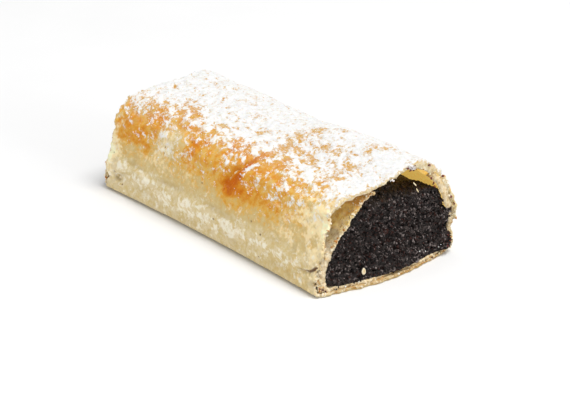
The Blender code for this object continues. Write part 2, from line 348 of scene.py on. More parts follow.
def strip(rows, columns, first=0, closed=True, flip=False):
    """Four-sided faces of a grid of points."""
    i = np.arange(rows - 1)[:, None]
    j = np.arange(columns if closed else columns - 1)[None, :]
    k = (j + 1) % columns
    a, b = first + i * columns + j, first + i * columns + k
    face = np.stack([a, b, b + columns, a + columns], -1).reshape(-1, 4)
    return face[:, ::-1] if flip else face


def colour(red, green, blue, light=1.0):
    """Linear colour that looks like this one from 0 to 255 where this much light falls."""
    out = []
    for value in (red, green, blue):
        value /= 255.0
        value = value / 12.92 if value <= 0.04045 else ((value + 0.055) / 1.055) ** 2.4
        out.append(min(0.93, value / light))
    return (*out, 1.0)


class Nodes:
    """A short way to write a material's nodes."""

    def __init__(self, name):
        self.material = bpy.data.materials.new(name)
        self.material.use_nodes = True
        self.tree = self.material.node_tree
        self.shader = self.tree.nodes["Principled BSDF"]

    def new(self, kind, **sockets):
        node = self.tree.nodes.new(kind)
        for key, value in sockets.items():
            self.put(node, key, value)
        return node

    def put(self, node, key, value):
        socket = node.inputs[int(key[1:])] if key[:1] == "_" and key[1:].isdigit() else node.inputs[key.replace("_", " ")]
        if isinstance(value, bpy.types.NodeSocket):
            self.tree.links.new(value, socket)
        else:
            socket.default_value = value

    def place(self):
        return self.new("ShaderNodeTexCoord").outputs["Object"]

    def field(self, name):
        node = self.new("ShaderNodeAttribute")
        node.attribute_name = name
        return node.outputs["Fac"]

    def noise(self, wide, detail=3.0, rough=0.55, shift=0.0, stretch=None):
        """Noise with features about this many millimetres wide."""
        at = self.place()
        if stretch:
            turn = self.new("ShaderNodeMapping", Vector=at)
            turn.inputs["Scale"].default_value = stretch
            at = turn.outputs["Vector"]
        node = self.new("ShaderNodeTexNoise", Vector=at, Scale=1000.0 / wide, Detail=detail, Roughness=rough, Distortion=shift)
        return node.outputs["Fac"]

    def cell(self, wide, smooth=None):
        node = self.new("ShaderNodeTexVoronoi", Vector=self.place(), Scale=1000.0 / wide)
        if smooth is not None:
            node.feature = "SMOOTH_F1"
            node.inputs["Smoothness"].default_value = smooth
        return node

    def maths(self, kind, a, b=0.0, c=None, clamp=False):
        node = self.new("ShaderNodeMath")
        node.operation = kind
        node.use_clamp = clamp
        self.put(node, "_0", a)
        self.put(node, "_1", b)
        if c is not None:
            self.put(node, "_2", c)
        return node.outputs[0]

    def span(self, value, low, high, out_low=0.0, out_high=1.0):
        node = self.new("ShaderNodeMapRange", Value=value)
        node.interpolation_type = "SMOOTHSTEP"
        for key, number in (("From Min", low), ("From Max", high), ("To Min", out_low), ("To Max", out_high)):
            node.inputs[key].default_value = number
        return node.outputs["Result"]

    def ramp(self, value, *stops):
        node = self.new("ShaderNodeValToRGB", Fac=value)
        band = node.color_ramp
        while len(band.elements) < len(stops):
            band.elements.new(0.5)
        for element, (at, shade) in zip(band.elements, stops):
            element.position = at
            element.color = shade
        return node.outputs["Color"]

    def mix(self, share, first, second, kind="MIX"):
        node = self.tree.nodes.new("ShaderNodeMix")
        node.data_type = "RGBA"
        node.blend_type = kind
        node.clamp_factor = True
        self.put(node, "_0", share)
        self.put(node, "_6", first)
        self.put(node, "_7", second)
        return node.outputs[2]

    def bump(self, height, deep, normal=None):
        """Bump whose height of 1 stands for this many millimetres."""
        node = self.new("ShaderNodeBump", Height=height, Strength=1.0, Distance=deep * 0.001)
        if normal is not None:
            self.put(node, "Normal", normal)
        return node.outputs["Normal"]

    def finish(self, base, rough, normal=None, **more):
        self.put(self.shader, "Base Color", base)
        self.put(self.shader, "Roughness", rough)
        if normal is not None:
            self.put(self.shader, "Normal", normal)
        for key, value in more.items():
            self.put(self.shader, key, value)
        return self.material


# ---------------------------------------------------------------- where things are on the crust

# Columns of the crust's ring: evenly spaced over the outside, then across the underside.
_fine = np.linspace(0, len(CRUST_ROWS) - 1, 1501)
_arc = lengths(through(crust_rows(0.0), _fine))
ARC = np.concatenate([np.linspace(0, 4, 6)[:-1], np.linspace(4, 104, 193)[:-1], np.linspace(104, _arc[-1], 35)])
OVER = len(ARC) - 1
ROW_AT = np.interp(ARC, _arc, _fine)
UNDER = 70
UNDER_AT = np.arange(1, UNDER) / UNDER
COLUMNS = OVER + UNDER
ALONG = np.concatenate([ARC, ARC[-1] + 2 * FOOT * UNDER_AT])
XS = np.linspace(-LENGTH / 2, LENGTH / 2, 251)


def crust_reach(end):
    """How far each column stands past its cut."""
    column = 6 if end > 0 else 7
    lip = LIP_NEAR if end > 0 else LIP_FAR
    over = through([(row[column],) for row in CRUST_ROWS], ROW_AT)[:, 0]
    over = over + 0.35 * np.sin(ROW_AT * 5.1 + end) + 0.2 * np.sin(ROW_AT * 11.7 + 2 * end)
    if end > 0:
        over = over - NOTCH_DEPTH * np.exp(-(((ROW_AT - 13.08) / 0.24) ** 2))
    under = over[-1] + (over[0] - over[-1]) * UNDER_AT + lip * np.sin(math.pi * UNDER_AT**LIP_LEAN)
    return np.concatenate([over, under])


def reach_box():
    """The part's own box, for the shift into the frame."""
    low, high = np.full(3, 1e9), np.full(3, -1e9)
    for end in (-1, 1):
        column = 6 if end > 0 else 7
        lip = LIP_NEAR if end > 0 else LIP_FAR
        at = counted(CRUST_ROWS, PER_ROW)
        over = through([(row[column],) for row in CRUST_ROWS], at)[:, 0]
        over = over + 0.35 * np.sin(at * 5.1 + end) + 0.2 * np.sin(at * 11.7 + 2 * end)
        share = np.arange(1, UNDER_STEPS) / UNDER_STEPS
        under = over[-1] + (over[0] - over[-1]) * share + lip * np.sin(math.pi * share**LIP_LEAN)
        far = np.concatenate([over, under]).max()
        if end > 0:
            high[0] = LENGTH / 2 + far
        else:
            low[0] = -LENGTH / 2 - far
    for x in np.linspace(-LENGTH / 2, LENGTH / 2, 20):
        outside, _ = crust_section(x)
        low[1:] = np.minimum(low[1:], outside.min(0))
        high[1:] = np.maximum(high[1:], outside.max(0))
    return low, high


_low, _high = reach_box()
OFFSET = np.array([(_low[0] + _high[0]) / 2, (_low[1] + _high[1]) / 2, 0.0])

# Browning, from 0, raw and pale, to 1, deep orange brown. The left side shows the most.
BAKE = (
    # x      arc   long  wide  lean   amount
    (-62.0,  36.0, 10.0,  8.0,   0.0,  0.10),   # far end of the shoulder
    (-50.0,  32.0, 10.0,  5.0,   0.0,  0.06),
    (-66.0,  22.0,  5.0,  6.0,   0.0, -0.24),
    (-42.0,  41.0,  5.0,  7.0,  60.0,  0.20),
    (-30.0,  33.5,  9.5,  7.5,  35.0, -0.38),   # the floury hollow
    (-34.0,  52.0,  7.0,  5.0, -30.0,  0.22),
    (-15.0,  37.0,  9.0,  3.4,  62.0,  0.14),   # narrow stripe
    (-22.0,  44.0,  6.0,  3.0,  20.0,  0.10),
    ( -5.0,  36.0,  6.0,  5.0,   0.0,  0.03),
    (-15.0,  26.0, 14.0,  3.0,   0.0, -0.06),
    ( 12.5,  33.0,  9.0,  3.0,  60.0,  0.44),   # deepest fold
    (  8.0,  27.5,  5.0,  2.6,  50.0,  0.20),
    ( 20.0,  28.5,  7.0,  3.2, -10.0,  0.14),
    ( 16.0,  43.5,  7.0,  2.4,  68.0,  0.34),
    ( 22.5,  38.0,  7.0,  2.2,  56.0,  0.14),
    ( 29.0,  46.0,  6.0,  5.0,  60.0,  0.12),
    (  4.0,  46.0,  7.0,  5.0,   0.0,  0.20),
    ( 18.0,  57.0,  6.0,  5.0,  60.0,  0.12),
    ( 24.0,  25.5,  9.0,  3.6,   4.0,  0.15),
    ( 40.0,  26.0,  6.0,  3.0,   0.0,  0.06),
    ( 46.0,  31.0, 10.0,  6.0,   0.0, -0.06),
    ( 60.0,  33.0,  9.0, 10.0,   0.0, -0.24),   # pales towards the near cut
    ( 61.0,  24.0,  2.6,  1.8,  20.0,  0.22),
    ( 18.0,  22.0, 12.0,  2.4,   0.0,  0.12),
    ( 54.0,  10.0, 16.0,  8.0,   0.0,  0.36),
    ( 12.0,  25.0,  5.0,  3.4,  40.0,  0.42),
    ( 11.5,  31.0,  5.0,  3.0,  60.0,  0.10),
    ( 13.0,  21.5,  7.0,  2.4,   0.0,  0.18),
    (-29.0,  41.5,  6.0,  3.0,  20.0,  0.14),
    ( 64.0,  22.0,  6.0,  8.0,   0.0, -0.14),
    (-44.0,  96.0,  9.0,  8.0,  20.0,  0.22),   # the right side
    ( -8.0,  99.0, 12.0,  7.0, -20.0,  0.30),
    ( 30.0,  95.0, 10.0,  7.0,  30.0,  0.24),
    ( 52.0, 101.0,  8.0,  6.0,   0.0, -0.14),
    (-24.0, 104.0,  8.0,  6.0,   0.0, -0.16),
)

# Where the sheet is paler and brighter than its browning.
PALE = (
    ( 60.0,  31.0, 11.0, 11.0,   0.0,  0.74),
    ( 64.0,  28.0,  4.0,  9.0,   0.0,  0.52),
    ( 61.0,  24.0,  2.6,  1.8,  20.0, -0.60),
    ( 53.0,  26.0,  3.0,  2.0,  50.0, -0.40),
    ( 44.0,  28.0,  9.0,  6.0,   0.0,  0.30),
    ( 43.0,  21.5,  6.0,  3.0,   0.0,  0.36),
    (-32.0,  33.0,  9.0,  6.0,  35.0,  0.52),
    (-34.0,  24.5, 13.0,  4.0,   0.0,  0.36),
    (-13.0,  25.5,  7.0,  4.0,   0.0,  0.40),
    (-17.0,  32.0,  5.0,  3.0,   0.0,  0.22),
    (-52.0,  24.0,  8.0,  4.0,   0.0,  0.15),
    (-65.5,  24.0,  4.5,  9.0,   0.0,  1.20),
    (-63.0,  18.5,  5.0,  6.0,   0.0,  0.80),
    ( 63.0,  10.0,  5.0,  9.0,   0.0,  0.35),
)

# Where sugar lies thicker or is missing.
SUGAR = (
    (-56.0,  42.0,  5.0,  3.0,  30.0,  0.10),
    (-48.0,  45.0,  7.0,  4.0,  70.0, -0.30),
    (-34.0,  53.0,  7.0,  4.0, -35.0, -0.62),
    (-29.0,  34.0,  7.0,  5.0,  35.0,  0.10),
    (-22.0,  42.0,  7.0,  4.0,   0.0, -0.30),
    (-16.0,  47.0,  3.0,  5.0,  70.0, -0.35),
    (  4.0,  47.0,  6.0,  4.5,   0.0, -0.42),
    ( 12.5,  39.0,  8.0,  2.0,  62.0, -0.55),
    ( 16.0,  45.5,  5.0,  2.0,  62.0, -0.18),
    ( 19.0,  49.0,  4.0,  2.4,  62.0, -0.30),
    ( 16.5,  38.6,  3.6,  0.9,  40.0,  1.00),   # caught behind the deepest fold
    ( 36.0,  36.0, 13.0,  6.0,  20.0,  0.16),
    ( 30.0,  41.0,  9.0,  4.2,   0.0, -0.36),
    ( 36.0,  48.5,  6.0,  2.8,   0.0,  0.60),
    ( 12.0,  38.0,  4.0,  4.0,   0.0,  0.20),
    ( 11.0,  31.0,  6.0,  3.0,  60.0, -0.25),
    ( 54.0,  40.0,  9.0,  5.0,   0.0, -0.14),
    ( 46.0,  49.5,  8.0,  4.0,   0.0,  0.14),
    (-18.0,  34.0,  5.0,  4.0,   0.0,  0.12),
    (-60.0,  31.0,  6.0,  6.0,   0.0, -0.24),
    (-60.0,  40.0,  5.0,  2.6,   0.0,  0.22),
    (-52.0,  48.0, 11.0,  3.0,   0.0, -0.18),
    (-36.0,  39.5,  5.0,  3.0,   0.0,  0.30),
    (-36.0,  48.0,  7.0,  4.0,   0.0, -0.16),
    (-15.0,  45.0,  7.0,  4.0,   0.0,  0.26),
    (  0.0,  48.5,  6.0,  3.0,   0.0,  0.26),
    ( -4.0,  35.5,  5.0,  3.0,   0.0, -0.28),
    ( 30.0,  56.0,  6.0,  3.0,   0.0, -0.25),
    ( 28.0,  60.0,  5.0,  2.2,   0.0,  0.42),
    ( 21.0,  64.0,  3.6,  2.4,   0.0,  0.22),
    ( 32.0,  64.5,  5.0,  2.0,   0.0, -0.26),
    ( 49.0,  68.5,  7.0,  3.5,   0.0, -0.26),
    ( 36.0,  53.0,  5.0,  2.4,   0.0, -0.18),
    ( 20.0,  57.0,  5.0,  4.5,  60.0, -0.65),
    ( 16.0,  64.0,  6.0,  4.0,  20.0, -0.70),
    ( 17.0,  72.0,  4.0,  3.0,   0.0, -0.62),
    ( 27.0,  46.0,  6.0,  4.5,  60.0, -0.50),
    ( 29.0,  62.0,  4.0,  3.5,  40.0, -0.62),
    ( 31.0,  56.0,  7.0,  4.0, -30.0, -0.45),
    ( 37.0,  66.0,  3.0,  3.5,   0.0, -0.55),
    ( 44.0,  58.0,  5.0,  3.0,   0.0, -0.45),
    ( 50.0,  60.0,  5.0,  3.0, -20.0, -0.52),
    ( 51.0,  51.0,  6.0,  4.0,   0.0, -0.66),
    ( 40.0,  50.0,  5.0,  3.5,   0.0, -0.35),
    ( 46.0,  75.0,  4.0,  3.0,  60.0, -0.42),
    ( 52.0,  79.0,  4.0,  2.5,   0.0, -0.42),
    ( 24.0,  78.0,  4.0,  2.0,  20.0, -0.32),
    (  1.0,  58.0,  2.5,  2.0,  60.0, -0.62),
    (-50.0,  76.0,  2.5,  1.6, -40.0, -0.62),
    (-59.0,  63.0,  2.5,  1.6, -50.0, -0.62),
    (-12.0,  52.0,  3.0,  2.0,   0.0, -0.55),
    (-34.0,  68.0,  3.0,  1.8, -20.0, -0.40),
    ( 60.0,  50.0,  6.0,  9.0,   0.0,  0.35),
    ( 64.0,  62.0,  1.6,  6.0,   0.0, -0.20),
    ( 65.0,  80.0,  1.2,  8.0,   0.0, -0.25),
    ( 58.0,  72.0,  7.0,  6.0,   0.0,  0.35),
)

# Flour on the flank.
FLOUR = (
    (-55.0,  16.6,  3.2,  2.6,   0.0,  0.95),
    (-40.5,  16.2,  5.5,  1.8,   0.0,  0.80),
    (-41.0,   9.2,  3.0,  1.6,   0.0,  0.55),
    (-25.5,  13.4,  3.4,  2.6,   0.0,  0.44),
    (-13.0,  13.6,  6.0,  2.2,   8.0,  0.36),
    ( -3.0,  12.4,  6.0,  2.2, -10.0,  0.70),
    (  6.0,  15.6,  5.0,  2.0,  10.0,  0.34),
    ( 13.0,  12.0,  5.0,  2.0,   0.0,  0.45),
    ( 18.0,  14.6,  7.0,  2.2,  -6.0,  0.56),
    ( 31.0,  14.6,  8.0,  1.8,   4.0,  0.50),
    ( 28.0,  11.0,  5.0,  2.0,   0.0, -0.28),
    (-60.0,  16.0,  3.0,  3.0,   0.0,  0.40),
    ( 44.0,  13.6,  6.0,  1.8,   0.0,  0.50),
    ( 57.0,  13.6,  5.0,  1.6,  10.0,  0.40),
    (-33.0,  19.0,  6.0,  1.6,   0.0,  0.30),
    (-30.0,  31.5,  5.0,  2.0,  10.0,  0.72),
    (-36.0,  36.5,  5.0,  2.4,  40.0,  0.66),
    (-27.0,  36.5,  5.0,  1.6,  20.0,  0.36),
    (-36.0,  30.0,  6.0,  3.0,  60.0,  0.35),
    (-10.0,  12.0, 60.0,  5.0,   0.0,  0.22),
    ( 60.0,  24.0,  4.0,  8.0,   0.0,  0.18),
    (-65.0,  25.0,  4.0,  8.0,   0.0,  0.40),
    ( 38.0,   8.0,  6.0,  2.4,   0.0, -0.36),
)

# Extra shape finer than the part's own: pressed in where the amount is above nothing.
PRESS = (
    (-24.0,  18.8, 12.0,  1.9,   3.0,  0.46),   # broken line above the floury swelling
    (  8.0,  18.0, 13.0,  2.1,  -4.0,  0.50),
    ( 40.0,  18.4, 12.0,  1.9,   4.0,  0.30),
    (-48.0,  19.6,  9.0,  1.4,  -4.0,  0.36),
    (-12.0,   8.6,  9.0,  1.4,  12.0,  0.30),   # dents low on the flank
    ( 16.0,   9.6,  8.0,  1.5, -14.0,  0.34),
    ( 38.0,   8.8, 10.0,  1.3,  10.0,  0.34),
    (-38.0,  12.6,  6.0,  1.3,  16.0,  0.34),
    ( 52.0,  18.0,  6.0,  2.0,  70.0,  0.30),
    (-58.5,  11.6,  3.2,  0.8,  22.0,  1.10),   # slit
    (-53.5,  13.6,  4.0,  0.7,  24.0,  0.50),
    ( 57.0,  12.6,  2.8,  0.7,   8.0,  0.80),   # crack by the near corner
    ( 61.0,  13.6,  2.8,  0.7,  20.0,  0.95),
    ( 64.6,  15.6,  2.4,  0.7,  38.0,  1.10),
    (-49.0,  23.0,  5.0,  1.6,  80.0,  0.45),
    ( 11.0,  36.0,  8.0,  0.9,  58.0,  0.80),   # lips of the deepest fold
    ( 13.5,  42.0,  6.0,  0.8,  76.0,  0.60),
    (  6.5,  29.0,  6.0,  1.2,  62.0,  0.35),
    ( 16.0,  37.2,  5.0,  0.9,  20.0,  0.55),
    (-19.0,  38.0,  7.0,  1.0,  60.0,  0.45),
    (-36.0,  38.0,  8.0,  1.3,  55.0,  0.45),
    (-43.0,  36.0,  7.0,  1.0,  62.0,  0.35),
    ( 25.0,  36.0,  6.0,  1.0,  48.0,  0.30),
    ( 40.0,  41.0,  7.0,  1.0,  35.0,  0.30),
    (-30.0,  33.0,  5.0,  1.0,  12.0,  0.30),
    (-28.0,  29.0,  5.0,  0.9,   8.0,  0.25),
    (-55.0,  16.8,  2.6,  2.0,   0.0, -0.45),   # floury lumps
    (-25.5,  13.4,  3.0,  2.2,   0.0, -0.45),
    (-13.0,  13.6,  6.0,  2.0,   8.0, -0.40),
    ( -3.0,  12.6,  5.0,  2.2, -10.0, -0.45),
    ( 18.0,  14.8,  7.0,  2.0,  -6.0, -0.30),
    (-40.5,  16.0,  5.0,  1.8,   0.0, -0.30),
    ( 31.0,  14.6,  8.0,  1.8,   4.0, -0.30),
    ( -6.0, 104.0, 10.0,  1.2,  40.0,  0.50),   # the right side
    (-40.0, 108.0,  9.0,  1.2, -35.0,  0.45),
    ( 34.0, 106.0, 11.0,  1.2,  32.0,  0.45),
    ( 10.0, 118.0, 40.0,  1.1,   1.0,  0.50),
)

# Pin holes, by X and arc.
HOLES = (
    (-62.5, 20.8), (-18.0, 38.1), (-5.5, 25.5), (-31.5, 29.9), (-32.0, 32.1), (5.0, 14.4),
    (26.0, 20.5), (32.5, 17.6), (32.5, 8.6), (-58.0, 11.6), (-60.0, 13.0), (-56.0, 9.8),
    (12.0, 112.0), (-30.0, 116.0), (41.0, 109.0), (-52.0, 104.0), (22.0, 121.0),
)


def crust_fields(x, arc):
    """Browning, sugar, flour and extra shape over the crust's outside."""
    warp_x = x + 1.5 * clouds(x / 8, arc / 8, 3.3, 11, 3)
    warp_a = arc + 1.3 * clouds(x / 8, arc / 8, 7.7, 21, 3)
    big = clouds(x / 14, arc / 11, 1.0, 31, 4)
    mid = clouds(x / 4.2, arc / 3.4, 2.0, 41, 4, 0.55)
    fine = clouds(x / 1.6, arc / 1.4, 5.0, 51, 3, 0.6)

    # the sugar slid a little as it fell, so its flecks lean
    lean_u = (x * 0.86 - arc * 0.51) / 5.2
    lean_v = (x * 0.51 + arc * 0.86) / 3.0
    flecks = clouds(lean_u, lean_v, 4.0, 61, 5, 0.66)

    left = step(warp_a, 22.5, 30.0)
    right = 1 - step(warp_a, 102.0, 117.0)
    bake = 0.05 + 0.21 * step(warp_a, 17.5, 23.0) * (1 - step(warp_a, 112, 122)) + 0.25 * left * right
    bake = bake + spots(warp_x, warp_a, BAKE) * np.maximum(left * right, 0.35)
    streak_u = (x * 0.60 + arc * 0.80) / 5.0
    streak_v = (-x * 0.80 + arc * 0.60) / 1.5
    streaks = clouds(streak_u, streak_v, 3.0, 36, 3, 0.6)
    bake = bake + (0.09 * big + 0.12 * mid + 0.10 * streaks) * left * right + (0.05 + 0.08 * step(arc, 14, 18) * (1 - left)) * mid
    bake = bake + 0.04 * streaks * step(arc, 16, 20) * (1 - left)
    bake = bake - 0.24 * np.exp(-(LENGTH / 2 - x) / 2.2) - 0.16 * np.exp(-(LENGTH / 2 + x) / 2.2)
    bake = np.clip(bake, 0, 1)
    pale = spots(warp_x, warp_a, PALE) + (0.50 * mid + 0.34 * fine) * np.maximum(step(x, 40, 54), 1 - step(x, -60, -50)) + 0.14 * mid

    start = 35.0 - 2.0 * step(warp_x, -6.0, 4.0) - 1.0 * (1 - step(warp_x, -52.0, -44.0))
    lies = step(warp_a, start, start + 21.0) * (1 - step(warp_a, 98.0, 112.0))
    sugar = 0.12 + 0.84 * lies + spots(warp_x, warp_a, SUGAR)
    sugar = sugar + 0.70 * flecks * (1 - 0.4 * step(warp_a, 56, 70)) + 0.10 * big + 0.20 * fine
    sugar = sugar - 0.20 * np.exp(-(((warp_a - 90.0) / 3.0) ** 2))
    sugar = np.where(warp_a < 33, sugar - (33 - warp_a) * 0.05, sugar)

    band = np.exp(-(((arc - 13.6 - 1.2 * np.sin(x / 9.0)) / 4.4) ** 4))
    flour = 0.14 * band + 0.70 * spots(warp_x, warp_a, FLOUR) + 0.55 * mid * step(arc, 3, 8) * (1 - step(arc, 19, 26)) + 0.40 * fine * band
    flour = flour + 0.2 * step(sugar, 0.05, 0.6) * step(warp_a, 28, 36)
    low_right = step(arc, 108, 118)
    flour = flour + low_right * (0.35 + 0.5 * mid)
    flour = flour - 0.5 * step(bake, 0.45, 0.7)

    pressed = spots(x + 0.5 * mid, arc + 0.4 * mid, PRESS)
    # how far up it lies, plus a spot on the far shoulder; painted light and shade: where it is high the skin and sugar
    # are coloured darker, and on the flank the sugar brighter, for how the light falls there
    high = step(arc, 34, 58) * (1 - step(arc, 92, 104))
    high = np.clip(high + 0.45 * np.exp(-(((x + 54.0) / 12.0) ** 2) - ((arc - 42.0) / 5.0) ** 2), 0, 1)
    return bake, sugar, flour, pressed, pale, high


def make_crust():
    at = np.concatenate([ROW_AT * PER_ROW, 45 + 9 * UNDER_AT])
    outer, inner, normal = [], [], []
    for x in XS:
        over = through(crust_rows(x), ROW_AT)
        arc = lengths(over)
        rise = np.clip(over[:, 1] / 4.0, 0, 1)
        over = inward(over, relief(x, arc) * rise, False, 1)
        over[:, 1] = np.maximum(over[:, 1], 0.0)
        run = np.gradient(over, axis=0)
        run /= np.linalg.norm(run, axis=1)[:, None]
        side = np.stack([-run[:, 1], run[:, 0]], 1)
        under = over[-1] + (over[0] - over[-1]) * UNDER_AT[:, None]
        outer.append(np.vstack([over, under]))
        normal.append(np.vstack([side, np.tile([0.0, -1.0], (len(under), 1))]))
        _, lining = crust_section(x)
        inner.append(around(lining, at))
    outer, inner, normal = np.array(outer), np.array(inner), np.array(normal)

    # the free edges of the sheet wave in and out at both cuts
    top_held = 1 - 0.75 * step(ALONG, 50, 66) * (1 - step(ALONG, 92, 100))
    lifted = step(outer[..., 1], 1.5, 6.0) * top_held
    sway = np.zeros(outer.shape[:2])
    for end, seed in ((1, 211), (-1, 221)):
        wave = 0.55 * clouds(ALONG / 8.0, 0.3, 0.6, seed, 3, 0.5)
        sway = sway + wave * np.exp(-(LENGTH / 2 - end * XS[:, None]) / 2.6)
    # turned out a little above the split on the right of the near cut
    flare = 0.9 * np.exp(-(((ALONG - 117.0) / 3.2) ** 2)) - 1.1 * np.exp(-(((ALONG - 123.5) / 3.4) ** 2))
    sway = sway + flare * np.exp(-(LENGTH / 2 - XS[:, None]) / 3.0)
    outer = outer + normal * (sway * lifted)[..., None]
    inner = inner + normal * (sway * lifted)[..., None]
    # and its edge curled under at the upper right
    curl = 1.7 * step(ALONG, 73, 82) * (1 - step(ALONG, 94, 103)) * np.exp(-(LENGTH / 2 - XS[:, None]) / 2.2)
    inner = inner - normal * curl[..., None]

    X = XS[:, None] * np.ones((1, OVER + 1))
    A = np.ones((len(XS), 1)) * ARC[None, :]
    bake, sugar, flour, pressed, pale, high = crust_fields(X, A)

    # relief finer than the folds, outwards
    wrinkle_u = (X * 0.75 + A * 0.66) / 5.5
    wrinkle_v = (-X * 0.66 + A * 0.75) / 2.4
    wrinkles = clouds(wrinkle_u, wrinkle_v, 0.5, 71, 3)
    lumps = clouds(X / 6.0, A / 4.5, 9.0, 81, 4, 0.5)
    pores = clouds(X / 1.3, A / 1.2, 3.0, 91, 2)
    near_blister, blister_no = cells(X / 5.0, A / 4.2, 101)
    blister = step(0.42 - near_blister, 0.0, 0.42) * (blister_no > 0.62)
    shoulder = step(A, 22, 30) * (1 - step(A, 104, 116))
    grain = clouds(X / 1.2, A / 1.1, 8.0, 111, 2)
    white = step(sugar + 0.2 * grain, 0.45, 0.85)
    clump = np.maximum(0, clouds(X / 2.6, A / 2.3, 6.0, 121, 3, 0.6))
    out = 0.34 * wrinkles * shoulder + 0.42 * lumps * (1 - 0.35 * shoulder) + 0.07 * pores + 0.42 * blister * shoulder
    out = out + 0.20 * clouds(X / 2.4, A / 2.0, 1.0, 116, 3, 0.6) * (1 - step(A, 24, 32))
    out = out - 1.25 * pressed + white * (0.16 + 0.12 * grain + 0.34 * clump)
    out = out + (0.16 + 0.14 * grain) * step(flour, 0.25, 0.7) * (1 - white)
    # crumbly towards the two cuts
    close = np.exp(-(LENGTH / 2 - np.abs(X)) / 3.5)
    out = out + close * (0.48 * clouds(X / 2.0, A / 1.9, 2.0, 126, 3, 0.6) - 0.45 * step(clouds(X / 1.7, A / 1.5, 7.0, 128, 2), 0.25, 0.6))
    ridge = step(A, 62, 72) * (1 - step(A, 88, 94))
    out = np.where(out > 0, out * (1 - 0.5 * ridge), out)
    for x0, a0 in HOLES:
        out = out - 0.55 * np.exp(-(((X - x0) / 0.55) ** 2 + ((A - a0) / 0.5) ** 2))
    # painted shade: the pit field colours the pin holes, the slit and the crack dark
    pit = np.zeros_like(out)
    for x0, a0 in HOLES:
        pit = pit + np.exp(-(((X - x0) / 0.5) ** 2 + ((A - a0) / 0.45) ** 2))
    pit = pit + 0.9 * np.exp(-((((X + 58.2) * 0.93 + (A - 11.7) * 0.37) / 1.3) ** 2 + ((-(X + 58.2) * 0.37 + (A - 11.7) * 0.93) / 0.42) ** 2))
    pit = pit + spots(X + 0.4 * grain, A + 0.3 * grain, ((56.8, 12.5, 2.0, 0.42, 8.0, 0.6), (60.9, 13.6, 2.6, 0.46, 20.0, 1.0), (64.5, 15.6, 2.0, 0.55, 38.0, 1.4), (62.4, 12.8, 1.2, 0.4, 70.0, 0.6)))
    rise = np.clip(outer[:, : OVER + 1, 1] / 3.0, 0, 1)
    outer[:, : OVER + 1] += normal[:, : OVER + 1] * (out * rise)[..., None]
    outer[:, :, 1] = np.maximum(outer[:, :, 1], 0.0)

    # the inside wall, rougher and softer
    XI = XS[:, None] * np.ones((1, COLUMNS))
    CI = np.ones((len(XS), 1)) * ALONG[None, :]
    run = np.roll(inner, -1, 1) - np.roll(inner, 1, 1)
    run /= np.maximum(np.linalg.norm(run, axis=2)[..., None], 1e-9)
    facing = np.stack([-run[..., 1], run[..., 0]], -1)
    inner_rough = 0.30 * clouds(XI / 5, CI / 4, 1.5, 131, 4, 0.55)
    held = 0.15 + 0.85 * step(ALONG, 10, 14) * (1 - step(ALONG, 84, 88))
    inner = inner + facing * (inner_rough * held)[..., None]
    inner[..., 1] = np.maximum(inner[..., 1], 0.85)
    # the lips are lumpy on top
    lip_lumps = 0.34 * clouds(XI / 1.9, CI / 1.9, 4.5, 136, 3, 0.6) * step(ALONG, 131, 135) * (1 - step(ALONG, 181, 185))
    inner[..., 1] = inner[..., 1] + np.maximum(lip_lumps, -0.2) * np.exp(-(LENGTH / 2 - np.abs(XI)) / 4.0)

    # where every point stands along the roll, with the torn edges of the two cuts
    share = (XS + LENGTH / 2) / LENGTH
    near_edge = crust_reach(1)
    far_edge = crust_reach(-1)
    # what lies on the underside is a smoother lip
    loose = 1 - 0.45 * step(ALONG, 127, 133)
    torn_near = loose * (0.62 * clouds(ALONG / 6.0, 0.3, 0.1, 141, 4, 0.6) + 0.42 * clouds(ALONG / 2.1, 0.7, 0.2, 151, 2, 0.6) - 0.15)
    torn_near = torn_near + 0.5 * clouds(ALONG / 4.4, 0.1, 0.5, 156, 3, 0.6) * step(ALONG, 131, 138) - 0.4 * step(ALONG, 131, 138)
    torn_near = torn_near + 0.6 * np.exp(-(((ALONG - 4.0) / 3.0) ** 2)) + 1.0 * np.exp(-(((ALONG - 124.0) / 3.5) ** 2))
    torn_far = loose * (0.40 * clouds(ALONG / 6.0, 0.8, 0.1, 161, 4, 0.6) + 0.15 * noise(ALONG / 1.4, 0.2, 0.9, 171) - 0.30)

    def placed(ring, x_index):
        x = XS[x_index][:, None]
        s = share[x_index][:, None]
        shift = near_edge * s**3 - far_edge * (1 - s) ** 3
        shift = shift + torn_near * np.exp(-(LENGTH / 2 - x) / 1.4) - torn_far * np.exp(-(LENGTH / 2 + x) / 1.4)
        return np.concatenate([(x + shift)[..., None], ring[x_index]], -1)

    every = np.arange(len(XS))
    deep = np.unique(np.concatenate([np.arange(0, 16), np.arange(16, len(XS) - 16, 12), np.arange(len(XS) - 16, len(XS))]))
    outside = placed(outer, every)
    inside = placed(inner, deep)

    points = [outside.reshape(-1, 3), inside.reshape(-1, 3)]
    first_inside = outside.shape[0] * COLUMNS
    faces = [strip(len(XS), COLUMNS, 0, True, True), strip(len(deep), COLUMNS, first_inside)]
    lining_faces = (len(faces[0]), len(faces[0]) + len(faces[1]))
    total = first_inside + inside.shape[0] * COLUMNS

